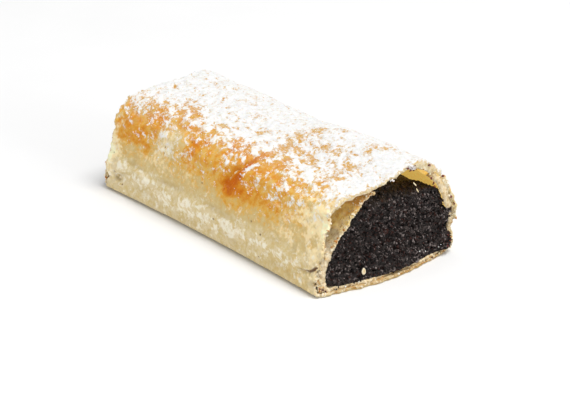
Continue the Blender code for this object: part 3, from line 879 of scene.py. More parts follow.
    # the broken edge, crumbly and rounded over
    layers = 5
    rim_fields, rim_shares = [], []
    for end in (-1, 1):
        i = 0 if end < 0 else len(XS) - 1
        out_ring = outside[i]
        in_ring = inside[0 if end < 0 else -1]
        rows = [np.arange(COLUMNS) + i * COLUMNS]
        for n in range(1, layers + 1):
            t = n / (layers + 1)
            ring = out_ring + (in_ring - out_ring) * t
            flake = 0.34 * clouds(ALONG / 1.9, n * 0.9, 0.4 + end, 201, 3, 0.6) * (1 - 0.7 * step(ALONG, 126, 132)) + 0.16 * clouds(ALONG / 3.0, n * 0.4, 0.9 + end, 205, 2)
            flake = flake + 0.36 * clouds(ALONG / 5.0, n * 0.3, 0.2 + end, 207, 3, 0.55) * step(ALONG, 126, 132)
            ring[:, 0] += end * (flake * math.sin(math.pi * t) + 0.30 * math.sin(math.pi * t))
            points.append(ring)
            rows.append(total + np.arange(COLUMNS))
            rim_fields.append(np.full(COLUMNS, t))
            rim_shares.append((i, t))
            total += COLUMNS
        rows.append(first_inside + (0 if end < 0 else len(deep) - 1) * COLUMNS + np.arange(COLUMNS))
        for a, b in zip(rows[:-1], rows[1:]):
            face = np.stack([a, np.roll(a, -1), np.roll(b, -1), b], -1)
            faces.append(face if end < 0 else face[:, ::-1])

    def full(values, under):
        return np.concatenate([values, np.full((len(XS), COLUMNS - OVER - 1), under)], 1)

    side = {
        "bake": full(bake, 0.25),
        "sugar": full(sugar, -1.0),
        "flour": full(flour, 0.1),
        "pit": full(pit, 0.0),
        "pale": full(pale, 0.0),
        "high": full(high, 0.0),
        # painted shade in the pressed dents of the flank
        "crease_shade": full(pressed * step(A, 6, 10) * (1 - step(A, 21, 25)), 0.0),
    }
    fields = {}
    for key, values in side.items():
        # the broken edge fades from what lies outside to what lies inside
        inner_value = {"bake": 0.2, "sugar": -1.0, "flour": 0.2, "pit": 0.0, "pale": 0.0, "high": 0.0, "crease_shade": 0.0}[key]
        rims = [values[i] * (1 - t) + inner_value * t for i, t in rim_shares]
        fields[key] = np.concatenate([values.ravel(), np.full(len(deep) * COLUMNS, inner_value), *rims])
    # 0 outside, 1 inside, and the cut edge between
    fields["inside"] = np.concatenate([np.zeros(first_inside), np.ones(len(deep) * COLUMNS), np.concatenate(rim_fields)])
    # painted light: the roof of the hollow is coloured yellow for light that comes through the sheet
    roof = step(ALONG, 60, 72) * (1 - step(ALONG, 96, 106))
    below = step(ALONG, 126, 131)
    fields["painted_glow"] = np.concatenate([np.zeros(first_inside), np.tile(roof, len(deep)), np.tile(0.3 * roof, 2 * layers)])
    fields["below"] = np.concatenate([np.zeros(first_inside), np.tile(below, len(deep)), np.tile(below, 2 * layers)])
    # where the broken edge is coloured darker at the right: painted shade
    painted_shade_right = step(ALONG, 92, 100) * (1 - step(ALONG, 124, 130))
    fields["painted_shade_right"] = np.concatenate([np.zeros(first_inside), np.tile(painted_shade_right, len(deep)), np.tile(painted_shade_right, 2 * layers)])
    piece = build("baked_crust", np.vstack(points), faces, fields)
    which = np.zeros(len(piece.data.polygons), np.int32)
    which[lining_faces[0] : lining_faces[1]] = 1
    # faces of the roof near the cuts take the glowing material: painted light
    lit = (ALONG > 70) & (ALONG < 104)
    ends = np.abs(XS[deep][:-1] + XS[deep][1:]) / 2 > LENGTH / 2 - 28.0
    lit = np.where(ends[:, None] & lit[None, :], 2, 1)
    which[lining_faces[0] : lining_faces[1]] = lit.ravel()

    n = Nodes("baked_crust")
    bake_at = n.maths("ADD", n.field("bake"), n.span(n.noise(2.2, 5, 0.65), 0.25, 0.75, -0.14, 0.14))
    bake_at = n.maths("ADD", bake_at, n.span(n.noise(0.7, 2, 0.5), 0.3, 0.7, -0.04, 0.04), clamp=True)
    skin = n.ramp(
        bake_at,
        (0.00, colour(208, 191, 152, 0.88)),
        (0.10, colour(200, 180, 130, 0.87)),
        (0.26, colour(203, 176, 118, 0.94)),
        (0.44, colour(220, 172, 80, 1.00)),
        (0.60, colour(216, 149, 46, 1.02)),
        (0.78, colour(212, 128, 12, 1.02)),
        (1.00, colour(194, 98, 2, 1.02)),
    )
    skin = n.mix(n.span(n.maths("ADD", n.field("pale"), n.span(n.noise(1.6, 4, 0.6), 0.3, 0.7, -0.25, 0.25)), 0.15, 0.85, 0.0, 0.9), skin, colour(236, 215, 168, 0.90))
    torn = n.ramp(n.noise(1.8, 5, 0.68), (0.32, colour(194, 166, 114, 1.08)), (0.5, colour(222, 202, 158, 1.1)), (0.66, colour(240, 228, 202, 1.1)))
    # painted shade: the broken edge is coloured darker at the right, where less light falls on it
    torn = n.mix(n.field("painted_shade_right"), torn, n.ramp(n.noise(1.5, 5, 0.70), (0.36, colour(158, 124, 74, 1.22)), (0.48, colour(198, 176, 128, 1.24)), (0.64, colour(227, 212, 178, 1.24))))
    torn = n.mix(n.field("below"), torn, n.ramp(n.noise(1.9, 5, 0.68), (0.35, colour(168, 104, 38, 1.1)), (0.46, colour(183, 145, 82, 1.2)), (0.65, colour(214, 195, 150, 1.18))))
    crisp = n.maths("MULTIPLY", n.field("below"), n.span(n.field("inside"), 0.10, 0.40, 0.75, 0.0))
    torn = n.mix(crisp, torn, colour(196, 144, 70))
    skin = n.mix(n.span(n.field("inside"), 0.1, 0.6), skin, torn)
    freckle = n.maths("MULTIPLY", n.span(n.noise(0.55, 1, 0.5), 0.66, 0.74), n.span(n.field("bake"), 0.4, 0.7, 0.0, 0.3))
    skin = n.mix(freckle, skin, colour(170, 100, 40))
    skin = n.mix(n.span(n.maths("ADD", n.field("pale"), n.span(n.noise(1.4, 4, 0.65), 0.3, 0.7, -0.3, 0.3)), 0.85, 1.5, 0.0, 0.9), skin, colour(247, 232, 192, 0.88))
    floury = n.maths("ADD", n.field("flour"), n.span(n.noise(2.1, 6, 0.68), 0.28, 0.72, -0.52, 0.52))
    skin = n.mix(n.span(floury, 0.18, 0.86, 0.0, 0.95), skin, colour(223, 216, 196, 0.84))
    # painted shade: darker in the dents of the flank
    skin = n.mix(n.span(n.field("crease_shade"), 0.10, 0.55, 0.0, 0.42), skin, colour(176, 154, 108, 0.9))
    # painted shade: the skin is coloured darker on the top and on the far shoulder
    skin = n.mix(n.maths("MULTIPLY", n.field("high"), n.span(n.field("inside"), 0.0, 0.25, 0.70, 0.0)), skin, colour(214, 166, 78, 1.28))
    # painted shade: dark in the pin holes, the slit and the crack
    skin = n.mix(n.span(n.field("pit"), 0.25, 0.8, 0.0, 0.85), skin, colour(92, 52, 30))
    dusted = n.maths("ADD", n.field("sugar"), n.span(n.noise(1.2, 5, 0.70), 0.28, 0.72, -0.42, 0.42))
    cover = n.span(dusted, 0.22, 0.82)
    # a thin veil of it lies everywhere on the top
    veil = n.maths("MULTIPLY", n.field("high"), n.span(n.noise(1.2, 5, 0.7), 0.38, 0.66, 0.0, 0.45))
    cover = n.maths("MAXIMUM", cover, veil)
    heaps = n.ramp(n.noise(1.7, 6, 0.7), (0.31, colour(206, 197, 176)), (0.43, colour(224, 224, 223)), (0.62, colour(232, 232, 232)))
    # painted light: the sugar is coloured brighter on the flank than on the top
    sugary = n.mix(n.field("high"), colour(240, 238, 233), heaps)
    sugary = n.mix(n.span(n.noise(2.0, 6, 0.72), 0.54, 0.72, 0.0, 0.65), sugary, colour(214, 199, 166))
    skin = n.mix(cover, skin, sugary)
    rough = n.maths("ADD", n.span(cover, 0.0, 1.0, 0.48, 0.92), n.span(n.noise(1.4, 3), 0.3, 0.7, -0.08, 0.08))
    height = n.maths("ADD", n.noise(1.1, 5, 0.62), n.maths("MULTIPLY", cover, n.maths("ADD", 0.05, n.maths("MULTIPLY", n.noise(0.4, 2, 0.6), 0.3))))
    grit = n.bump(height, 0.26)
    n.finish(skin, rough, grit, **{"Subsurface Weight": 0.06, "Subsurface Scale": 0.0008, "Subsurface Radius": (1.0, 0.6, 0.3), "Specular IOR Level": 0.12})
    piece.data.materials.append(n.material)

    # the inside of the sheet; its roof is coloured yellow and, near the cuts, glows: painted light for light that comes
    # through the thin sheet
    for name, light in (("baked_crust_lining", 0.0), ("baked_crust_roof_painted_glow", 0.48)):
        n = Nodes(name)
        shade = n.ramp(n.noise(2.6, 5, 0.65), (0.3, colour(214, 192, 146)), (0.7, colour(238, 224, 190)))
        amber = n.ramp(n.noise(3.2, 4, 0.6), (0.3, colour(224, 176, 84)), (0.7, colour(244, 214, 138)))
        shade = n.mix(n.field("painted_glow"), shade, amber)
        shade = n.mix(n.field("below"), shade, n.ramp(n.noise(2.4, 5, 0.65), (0.35, colour(182, 140, 80)), (0.6, colour(212, 190, 146))))
        more = {"Emission Color": (1.0, 0.66, 0.16, 1.0), "Emission Strength": light} if light else {}
        n.finish(shade, 0.5, n.bump(n.noise(1.0, 5, 0.65), 0.25), **{"Specular IOR Level": 0.3}, **more)
        piece.data.materials.append(n.material)
    piece.data.polygons.foreach_set("material_index", which)
    return piece, outside, inside, sugar


def make_dough():
    per = 9
    near_x = LENGTH / 2 - np.arange(0, 26) * 0.5
    xs = np.unique(np.concatenate([-near_x, np.linspace(-52, 52, 27), near_x]))
    at = counted(np.zeros(DOUGH_STEPS + 1), per)
    count = len(at)
    share_at = np.linspace(0, 1, count)
    bulge = np.cos(math.pi / 2 * np.minimum(1.0, np.abs(share_at - 0.52) / 0.27))
    near = 0.5 + 0.3 * np.sin(share_at * 31) + 0.98 * LIP_NEAR * bulge - 0.9 * np.clip(share_at - 0.75, 0, 1)
    far = 0.2 + 0.3 * np.sin(share_at * 27 + 2) + 0.98 * LIP_FAR * bulge
    along = share_at * 125.0
    near = near + 0.75 * clouds(along / 4, 0.2, 0.3, 301, 5, 0.68) - 0.5 * bulge
    far = far + 0.60 * clouds(along / 4, 0.6, 0.3, 311, 5, 0.68) - 0.3 * bulge
    near = near + 0.7 * step(share_at, 0.82, 0.90)
    outer, inner = [], []
    for x in xs:
        outside, inside = dough_lines(x)
        outer.append(through(outside, at))
        inner.append(through(inside, at))
    outer, inner = np.array(outer), np.array(inner)
    X = xs[:, None] * np.ones((1, count))
    L = np.ones((len(xs), 1)) * along
    run = np.gradient(outer, axis=1)
    run /= np.linalg.norm(run, axis=2)[..., None]
    side = np.stack([run[..., 1], -run[..., 0]], -1)
    free = 1 - step(share_at, 0.24, 0.34)
    rough = 0.42 * clouds(X / 5, L / 3.4, 2.0, 321, 4, 0.6) + 0.14 * clouds(X / 1.4, L / 1.2, 2.0, 331, 2)
    outer = outer + side * (np.minimum(rough * (0.1 + 0.9 * free), 0.6))[..., None]
    # baked fast to the crust low on the left, underneath and on the right
    outer = outer + side * (0.34 * step(share_at, 0.33, 0.36))[:, None]
    reached = (share_at > 0.14) & (share_at < 0.42)
    for i, x in enumerate(xs):
        _, lining = crust_section(x)
        ring = around(lining, np.arange(0, len(lining), 0.25))
        low = outer[i, reached]
        nearest = ring[np.linalg.norm(low[:, None] - ring[None], axis=2).argmin(1)]
        amount = step(share_at, 0.17, 0.24) * (1 - step(share_at, 0.38, 0.42))
        outer[i, reached] += (nearest - low) * amount[reached][:, None]
    # thicker and puffed up towards its end on the right
    puff = (0.3 * step(share_at, 0.80, 0.84) + 1.6 * step(share_at, 0.85, 0.91)) * (1 + 0.3 * noise(share_at * 30, 0.5, 0.5, 356))
    inner = inner - side * (puff * np.exp(-(LENGTH / 2 - X) / 12.0))[..., None]
    # its free edge waves a little at both cuts
    for end, seed in ((1, 351), (-1, 361)):
        wave = (0.5 * clouds(share_at * 16.0, 0.3, 0.6, seed, 3, 0.5) + 0.3 * clouds(share_at * 55.0, 0.3, 0.6, seed + 4, 3, 0.6)) * (1 - step(share_at, 0.20, 0.30))
        wave = wave + 0.3 * clouds(share_at * 55.0, 0.8, 0.6, seed + 7, 3, 0.6) * step(share_at, 0.20, 0.30) * (1 - step(share_at, 0.40, 0.46))
        wave = (wave * np.exp(-(LENGTH / 2 - end * X) / 2.6))[..., None]
        outer, inner = outer + side * wave, inner + side * wave

    def placed(ring):
        s = (xs[:, None] + LENGTH / 2) / LENGTH
        shift = near * s**3 - far * (1 - s) ** 3
        return np.concatenate([(xs[:, None] + shift)[..., None], ring], -1)

    outside, inside = placed(outer), placed(inner)
    grid = np.concatenate([outside, inside[:, ::-1]], 1)
    total = 2 * count
    points = [grid.reshape(-1, 3)]
    faces = [strip(len(xs), total)]
    base = grid.shape[0] * total
    middle_fields = []
    for end, i in ((-1, 0), (1, len(xs) - 1)):
        middle = (outside[i] + inside[i]) / 2
        middle[:, 0] += end * (0.25 + 0.3 * clouds(along / 1.6, 0.5, end, 341, 2))
        points.append(middle)
        a = i * total + np.arange(count)
        c = i * total + total - 1 - np.arange(count)
        m = base + np.arange(count)
        for first, second in ((a, m), (m, c)):
            face = np.stack([first[:-1], first[1:], second[1:], second[:-1]], -1)
            faces.append(face[:, ::-1] if end < 0 else face)
        for k in (0, count - 1):
            tri = np.array([[a[k], m[k], c[k]]])
            flip = (k == 0) == (end > 0)
            faces.append(tri if flip else tri[:, ::-1])
        base += count
        middle_fields.append(middle)
    points = np.vstack(points)
    run_at = np.concatenate([np.tile(np.concatenate([share_at, share_at[::-1]]), len(xs)), share_at, share_at])
    outward = np.concatenate([np.tile(np.concatenate([np.ones(count), np.zeros(count)]), len(xs)), np.full(2 * count, 0.5)])
    piece = build("inner_turn", points, faces, {"run": run_at, "outward": outward})
    which = np.zeros(len(piece.data.polygons), np.int32)
    column = np.arange(total)
    # near the cuts, faces in the hollow and in the gap take glowing materials: painted light
    lit = (column >= count - 1) & (column < count + int(count * 0.12))
    close = np.abs(xs[:-1] + xs[1:]) / 2 > LENGTH / 2 - 28.0
    gap_side = column < int(count * 0.145)
    slots = np.where(close[:, None] & lit[None, :], 1, np.where(close[:, None] & gap_side[None, :], 2, 0))
    slots[xs[:-1] > LENGTH / 2 - 4.0, count - 1] = 0
    which[: len(faces[0])] = slots.ravel()

    # painted light and shade: the upper and gap materials glow; the ramp's brown start paints shade under the crust's
    # edge, its darker tan near 0.9 paints shade on the right band, and its yellow end paints light through the sheet
    for name, light in (("inner_turn", 0.0), ("inner_turn_upper_painted_glow", 0.54), ("inner_turn_gap_painted_glow", 0.12)):
        n = Nodes(name)
        shade = n.maths("ADD", n.field("run"), n.span(n.noise(4, 4, 0.6), 0.3, 0.7, -0.03, 0.03))
        skin = n.ramp(
            shade,
            (0.00, colour(158, 104, 44)),
            (0.055, colour(212, 138, 38)),
            (0.095, colour(252, 224, 142)),
            (0.12, colour(252, 230, 166)),
            (0.18, colour(236, 228, 200)),
            (0.26, colour(200, 186, 162)),
            (0.40, colour(204, 184, 140)),
            (0.72, colour(208, 189, 142)),
            (0.90, colour(196, 178, 138)),
            (1.00, colour(222, 190, 116)),
        )
        mottle = n.span(n.noise(1.9, 5, 0.72), 0.40, 0.64)
        skin = n.mix(n.maths("MULTIPLY", mottle, 0.60), skin, colour(188, 150, 96))
        pale = n.maths("MULTIPLY", n.span(n.noise(2.2, 4, 0.65, 0.3), 0.50, 0.62, 0.0, 0.75), n.span(n.field("run"), 0.05, 0.16, 0.12, 1.0))
        skin = n.mix(pale, skin, colour(240, 226, 196))
        stain = n.span(n.noise(2.6, 3, 0.6, 0.4), 0.58, 0.70, 0.0, 0.5)
        skin = n.mix(stain, skin, colour(156, 116, 74))
        crumb = n.span(n.noise(0.8, 1, 0.5), 0.77, 0.80, 0.0, 0.8)
        skin = n.mix(crumb, skin, colour(120, 62, 30))
        # its broken edge is pale
        skin = n.mix(n.span(n.field("outward"), 0.55, 0.97, 0.75, 0.0), skin, n.ramp(n.noise(1.2, 4, 0.65), (0.38, colour(206, 174, 122)), (0.56, colour(240, 224, 190)))) if light < 0.2 else skin
        more = {"Emission Color": (1.0, 0.64 if light > 0.2 else 0.58, 0.14, 1.0), "Emission Strength": light} if light else {}
        n.finish(skin, n.span(mottle, 0.0, 1.0, 0.5, 0.75), n.bump(n.noise(1.3, 5, 0.7), 0.6), **{"Specular IOR Level": 0.2}, **more)
        piece.data.materials.append(n.material)
    piece.data.polygons.foreach_set("material_index", which)
    return piece, outside


def painted_hollow_tint(points):
    """How much a painted olive tint lies on the filling's top under its hollow: painted shade and light through the
    sheet.
    """
    y, z = points[:, 1], points[:, 2]
    return step(z, 26.0, 30.5) * step(y, -13.0, -5.0) * (1 - step(y, 18.0, 25.0))


def make_filling():
    columns = 320
    near_x = LENGTH / 2 - np.arange(0, 26) * 0.5
    xs = np.unique(np.concatenate([-near_x, np.linspace(-52, 52, 21), near_x]))
    at = np.arange(columns) * FILLING_STEPS / columns
    rings = np.array([around(filling_ring(x), at) for x in xs])
    run = np.roll(rings, -1, 1) - np.roll(rings, 1, 1)
    run /= np.linalg.norm(run, axis=2)[..., None]
    side = np.stack([run[..., 1], -run[..., 0]], -1)
    centre = rings.mean(1, keepdims=True)
    side = side * np.sign(((rings - centre) * side).sum((1, 2)))[:, None, None]
    top = (np.arange(columns) > columns * 0.70).astype(float)
    top = np.convolve(np.tile(top, 3), np.ones(9) / 9, "same")[columns : 2 * columns]
    X = xs[:, None] * np.ones((1, columns))
    L = np.ones((len(xs), 1)) * np.arange(columns) * 0.5
    grit = 0.30 * clouds(X / 2.6, L / 2.4, 1.0, 401, 4, 0.6) + 0.45 * clouds(X / 7, L / 7, 1.0, 411, 2)
    rings = rings + side * (np.minimum(grit, 0.7) * top)[..., None]
    near = face_reach(rings[-1, :, 0], rings[-1, :, 1], 1)
    far = face_reach(rings[0, :, 0], rings[0, :, 1], -1)
    s = (xs[:, None] + LENGTH / 2) / LENGTH
    def toe(y, z):
        """Loose seed slumped at the foot of each cut."""
        return np.exp(-((z / 4.2) ** 2)) * np.cos(math.pi * np.minimum(1, np.abs(y) / 33.0) / 2)

    def spill(y, z):
        """Seed pushed over the broken edges low on the right of the near cut."""
        return np.exp(-(((z - 4.4) / 3.9) ** 4)) * step(y, 20.0, 29.0) + 0.72 * np.exp(-(((z - 15.0) / 3.4) ** 4)) * step(y, 22.0, 30.0)

    def worn(y, z):
        """The upper edge of the near cut has crumbled back."""
        return 4.6 * step(z, 25.5, 31.5) * step(y, -9.0, 0.0) * (1 - step(y, 14.0, 22.0))

    for end in (1, -1):
        slump = toe(rings[..., 0], rings[..., 1]) * np.exp(-(LENGTH / 2 - end * xs[:, None]) / 3.0)
        rings[..., 1] -= 0.75 * slump
    near_fade = np.exp(-(LENGTH / 2 - xs[:, None]) / 2.0)
    over = spill(rings[..., 0], rings[..., 1])
    rings[..., 0] += 1.7 * over * near_fade
    # heaped a little higher at the upper right, inside the hollow
    heaped = step(rings[..., 0], 16.5, 23.0) * (1 - step(rings[..., 0], 26.0, 30.0)) * step(rings[..., 1], 20.0, 24.0)
    dipped = np.exp(-(((rings[..., 0] - 13.5) / 7.0) ** 2)) * step(rings[..., 1], 22.0, 27.0)
    rings[..., 1] += (1.9 * heaped - 4.6 * dipped) * np.exp(-(LENGTH / 2 - xs[:, None]) / 12.0)
    # ragged where it meets the pastry
    ragged = 0.34 * clouds(np.arange(columns) / 5.0, 0.3, 0.2, 416, 3, 0.65)
    rings += side * (ragged[None, :] * (near_fade + near_fade[::-1]) * (1 - top))[..., None]
    body = np.concatenate([(xs[:, None] + near * s**3 - far * (1 - s) ** 3)[..., None], rings], -1)
    for end, i in ((-1, 0), (1, len(xs) - 1)):
        fade = np.exp(-(LENGTH / 2 - end * xs[:, None]) / 2.5)
        body[..., 0] += end * (1.9 if end > 0 else 0.7) * toe(rings[i, :, 0], rings[i, :, 1]) * fade
    body[..., 0] += 2.2 * spill(rings[-1, :, 0], rings[-1, :, 1]) * np.exp(-(LENGTH / 2 - xs[:, None]) / 2.5)
    body[..., 0] -= worn(rings[-1, :, 0], rings[-1, :, 1]) * np.exp(-(LENGTH / 2 - xs[:, None]) / 9.0)
    points = [body.reshape(-1, 3)]
    faces = [strip(len(xs), columns)]
    base = len(xs) * columns

    from mathutils import Vector
    from mathutils.geometry import delaunay_2d_cdt

    table = np.random.RandomState(421)
    lit = []
    for end, i in ((-1, 0), (1, len(xs) - 1)):
        rim = rings[i]
        low, high = rim.min(0), rim.max(0)
        pitch = 0.44
        ys, zs = np.meshgrid(np.arange(low[0], high[0], pitch), np.arange(low[1], high[1], pitch * 0.87))
        ys[::2] += pitch / 2
        spots_in = np.column_stack([ys.ravel(), zs.ravel()]) + table.uniform(-0.12, 0.12, (ys.size, 2))
        # keep what lies inside the outline, a little away from it
        inside = np.zeros(len(spots_in), bool)
        a, b = rim, np.roll(rim, -1, 0)
        for p, q in zip(a, b):
            crosses = (p[1] > spots_in[:, 1]) != (q[1] > spots_in[:, 1])
            if crosses.any():
                cut = p[0] + (spots_in[:, 1] - p[1]) * (q[0] - p[0]) / (q[1] - p[1] if q[1] != p[1] else 1e-9)
                inside ^= crosses & (spots_in[:, 0] < cut)
        gap = np.full(len(spots_in), 9.0)
        for k in range(0, len(rim), 40):
            d = np.linalg.norm(spots_in[:, None] - rim[None, k : k + 40], axis=2).min(1)
            gap = np.minimum(gap, d)
        spots_in = spots_in[inside & (gap > 0.28)]
        gap = gap[inside & (gap > 0.28)]
        flat = np.vstack([rim, spots_in])
        edges = [(k, (k + 1) % columns) for k in range(columns)]
        result = delaunay_2d_cdt([Vector(p) for p in flat], edges, [], 1, 1e-7)
        tris = np.array([f for f in result[2] if len(f) == 3])
        origin = np.array([o[0] if o else -1 for o in result[3]])
        y, z = flat[columns:, 0], flat[columns:, 1]
        x = end * (LENGTH / 2 + face_reach(y, z, end) + (1.9 if end > 0 else 0.7) * toe(y, z))
        if end > 0:
            x = x + 2.2 * spill(y, z) - worn(y, z)
        body_relief = 0.5 * clouds(y / 7, z / 7, 2.0, 431 + i, 2) + 1.25 * clouds(y / 2.5, z / 2.2, 2.0, 441 + i, 3, 0.6) + 0.50 * clouds(y / 0.95, z / 0.95, 2.0, 451 + i, 2)
        hollow, own = cells(y / 2.4 + 0.4 * clouds(y / 3, z / 3, 4.0, 456, 2), z / 2.2, 461 + i)
        pits = step(0.36 - hollow, 0, 0.22) * (own > 0.3)
        body_relief = (body_relief - (0.6 + 1.0 * own) * pits) * step(gap, 0, 0.9)
        x = x + end * body_relief
        points.append(np.column_stack([x, y, z]))
        index = np.concatenate([i * columns + np.arange(columns), base + np.arange(len(spots_in))])
        tris = index[origin[tris]]
        test = np.vstack(points)
        p0, p1, p2 = test[tris[0]]
        facing = np.cross(p1 - p0, p2 - p0)[0]
        faces.append(tris if facing * end > 0 else tris[:, ::-1])
        base += len(spots_in)
    points = np.vstack(points)
    # the strip of faces round the body has to face outwards too
    quad = faces[0]
    p = points[quad[len(quad) // 2]]
    out = np.cross(p[1] - p[0], p[3] - p[0])
    if np.dot(out[1:], p[0, 1:] - centre[len(xs) // 2, 0]) < 0:
        faces[0] = quad[:, ::-1]
    piece = build("ground_seed_filling", points, faces, {"painted_hollow_tint": painted_hollow_tint(points)})

    n = Nodes("ground_seed_filling")
    grain = n.cell(0.9)
    shade = n.ramp(
        grain.outputs["Color"],
        (0.10, colour(12, 8, 7)),
        (0.50, colour(30, 23, 21)),
        (0.80, colour(60, 51, 48)),
        (1.00, colour(92, 82, 79)),
    )
    damp = n.span(n.noise(2.6, 4, 0.65), 0.40, 0.62)
    shade = n.mix(n.maths("MULTIPLY", damp, 0.8), shade, colour(14, 9, 7))
    rusty = n.span(n.noise(1.3, 2, 0.5), 0.60, 0.68, 0.0, 0.6)
    shade = n.mix(rusty, shade, colour(74, 36, 24))
    # painted shade and light: olive tint on the filling's top under the hollow
    shade = n.mix(n.maths("MULTIPLY", n.field("painted_hollow_tint"), n.span(n.noise(1.1, 4, 0.65), 0.42, 0.62, 0.0, 0.85)), shade, colour(62, 46, 20))
    height = n.maths("SUBTRACT", 1.0, grain.outputs["Distance"])
    rough = n.span(n.noise(0.8, 2), 0.3, 0.7, 0.35, 0.75)
    n.finish(shade, rough, n.bump(height, 0.4), **{"Specular IOR Level": 0.22})
    piece.data.materials.append(n.material)
    return piece, points, [faces[1], faces[2]], body, top


# ---------------------------------------------------------------- loose bits

_g = (1 + 5**0.5) / 2
ICO = np.array(
    [(-1, _g, 0), (1, _g, 0), (-1, -_g, 0), (1, -_g, 0), (0, -1, _g), (0, 1, _g),
     (0, -1, -_g), (0, 1, -_g), (_g, 0, -1), (_g, 0, 1), (-_g, 0, -1), (-_g, 0, 1)], float
) / math.hypot(1, _g)
ICO_FACES = np.array(
    [(0, 11, 5), (0, 5, 1), (0, 1, 7), (0, 7, 10), (0, 10, 11), (1, 5, 9), (5, 11, 4), (11, 10, 2),
     (10, 7, 6), (7, 1, 8), (3, 9, 4), (3, 4, 2), (3, 2, 6), (3, 6, 8), (3, 8, 9), (4, 9, 5),
     (2, 4, 11), (6, 2, 10), (8, 6, 7), (9, 8, 1)]
)


def turns(count, table):
    """Random turns as matrices."""
    q = table.normal(size=(count, 4))
    q /= np.linalg.norm(q, axis=1)[:, None]
    w, x, y, z = q.T
    return np.stack(
        [1 - 2 * (y * y + z * z), 2 * (x * y - z * w), 2 * (x * z + y * w),
         2 * (x * y + z * w), 1 - 2 * (x * x + z * z), 2 * (y * z - x * w),
         2 * (x * z - y * w), 2 * (y * z + x * w), 1 - 2 * (x * x + y * y)], -1
    ).reshape(-1, 3, 3)


def bits(name, centres, sizes, squash, uneven, table):
    """Many small closed bits of one kind as one mesh."""
    count = len(centres)
    shape = ICO[None] * (1 + uneven * table.uniform(-1, 1, (count, 12, 1)))
    shape = shape * (np.asarray(squash) * (1 + 0.25 * table.uniform(-1, 1, (count, 3))))[:, None, :]
    shape = np.einsum("nij,nvj->nvi", turns(count, table), shape) * np.asarray(sizes)[:, None, None]
    points = (np.asarray(centres)[:, None] + shape).reshape(-1, 3)
    faces = (ICO_FACES[None] + 12 * np.arange(count)[:, None, None]).reshape(-1, 3)
    own = np.repeat(table.rand(count), 12)
    return build(name, points, faces, {"own": own})


def sugar_material(name):
    n = Nodes(name)
    shade = n.ramp(n.noise(0.5, 2), (0.3, colour(228, 226, 223)), (0.7, colour(240, 238, 235)))
    n.finish(shade, 0.85, n.bump(n.noise(0.25, 3, 0.6), 0.1), **{"Subsurface Weight": 0.1, "Subsurface Scale": 0.0005})
    return n.material


def scatter_sugar(outside, sugar):
    """Loose grains and clumps of sugar over the top and around its broken edge, and the listed white grains, of which
    the small ones low on the near cut are painted highlights.
    """
    table = np.random.RandomState(501)
    side = outside[:, : OVER + 1]
    du = np.gradient(side, axis=0)
    dv = np.gradient(side, axis=1)
    normal = np.cross(dv, du)
    normal /= np.linalg.norm(normal, axis=2)[..., None]
    if normal[len(XS) // 2, OVER // 2, 2] < 0:
        normal = -normal
    edge = np.exp(-(((sugar - 0.42) / 0.22) ** 2)) + 0.45 * step(sugar, 0.5, 0.8) + 0.10 * step(sugar, -0.1, 0.3)
    edge = edge * step(normal[..., 2], 0.05, 0.5)
    chance = edge.ravel() / edge.sum()
    pick = table.choice(chance.size, 6000, p=chance)
    i, j = np.unravel_index(pick, edge.shape)
    drift = table.uniform(-0.3, 0.3, (len(i), 3))
    drift = drift - normal[i, j] * (drift * normal[i, j]).sum(1)[:, None]
    size = 0.11 + 0.13 * table.rand(len(i)) ** 2 + 0.14 * (table.rand(len(i)) < 0.05)
    centre = side[i, j] + drift + normal[i, j] * (size * 0.1)[:, None]
    centre = np.vstack([centre, [row[:3] for row in SUGAR_AND_GLINT_GRAINS]])
    size = np.concatenate([size, [row[3] for row in SUGAR_AND_GLINT_GRAINS]])
    piece = bits("sugar_grains", centre, size, (1.0, 0.9, 0.75), 0.22, table)
    piece.data.materials.append(sugar_material("sugar_grains"))
    return piece


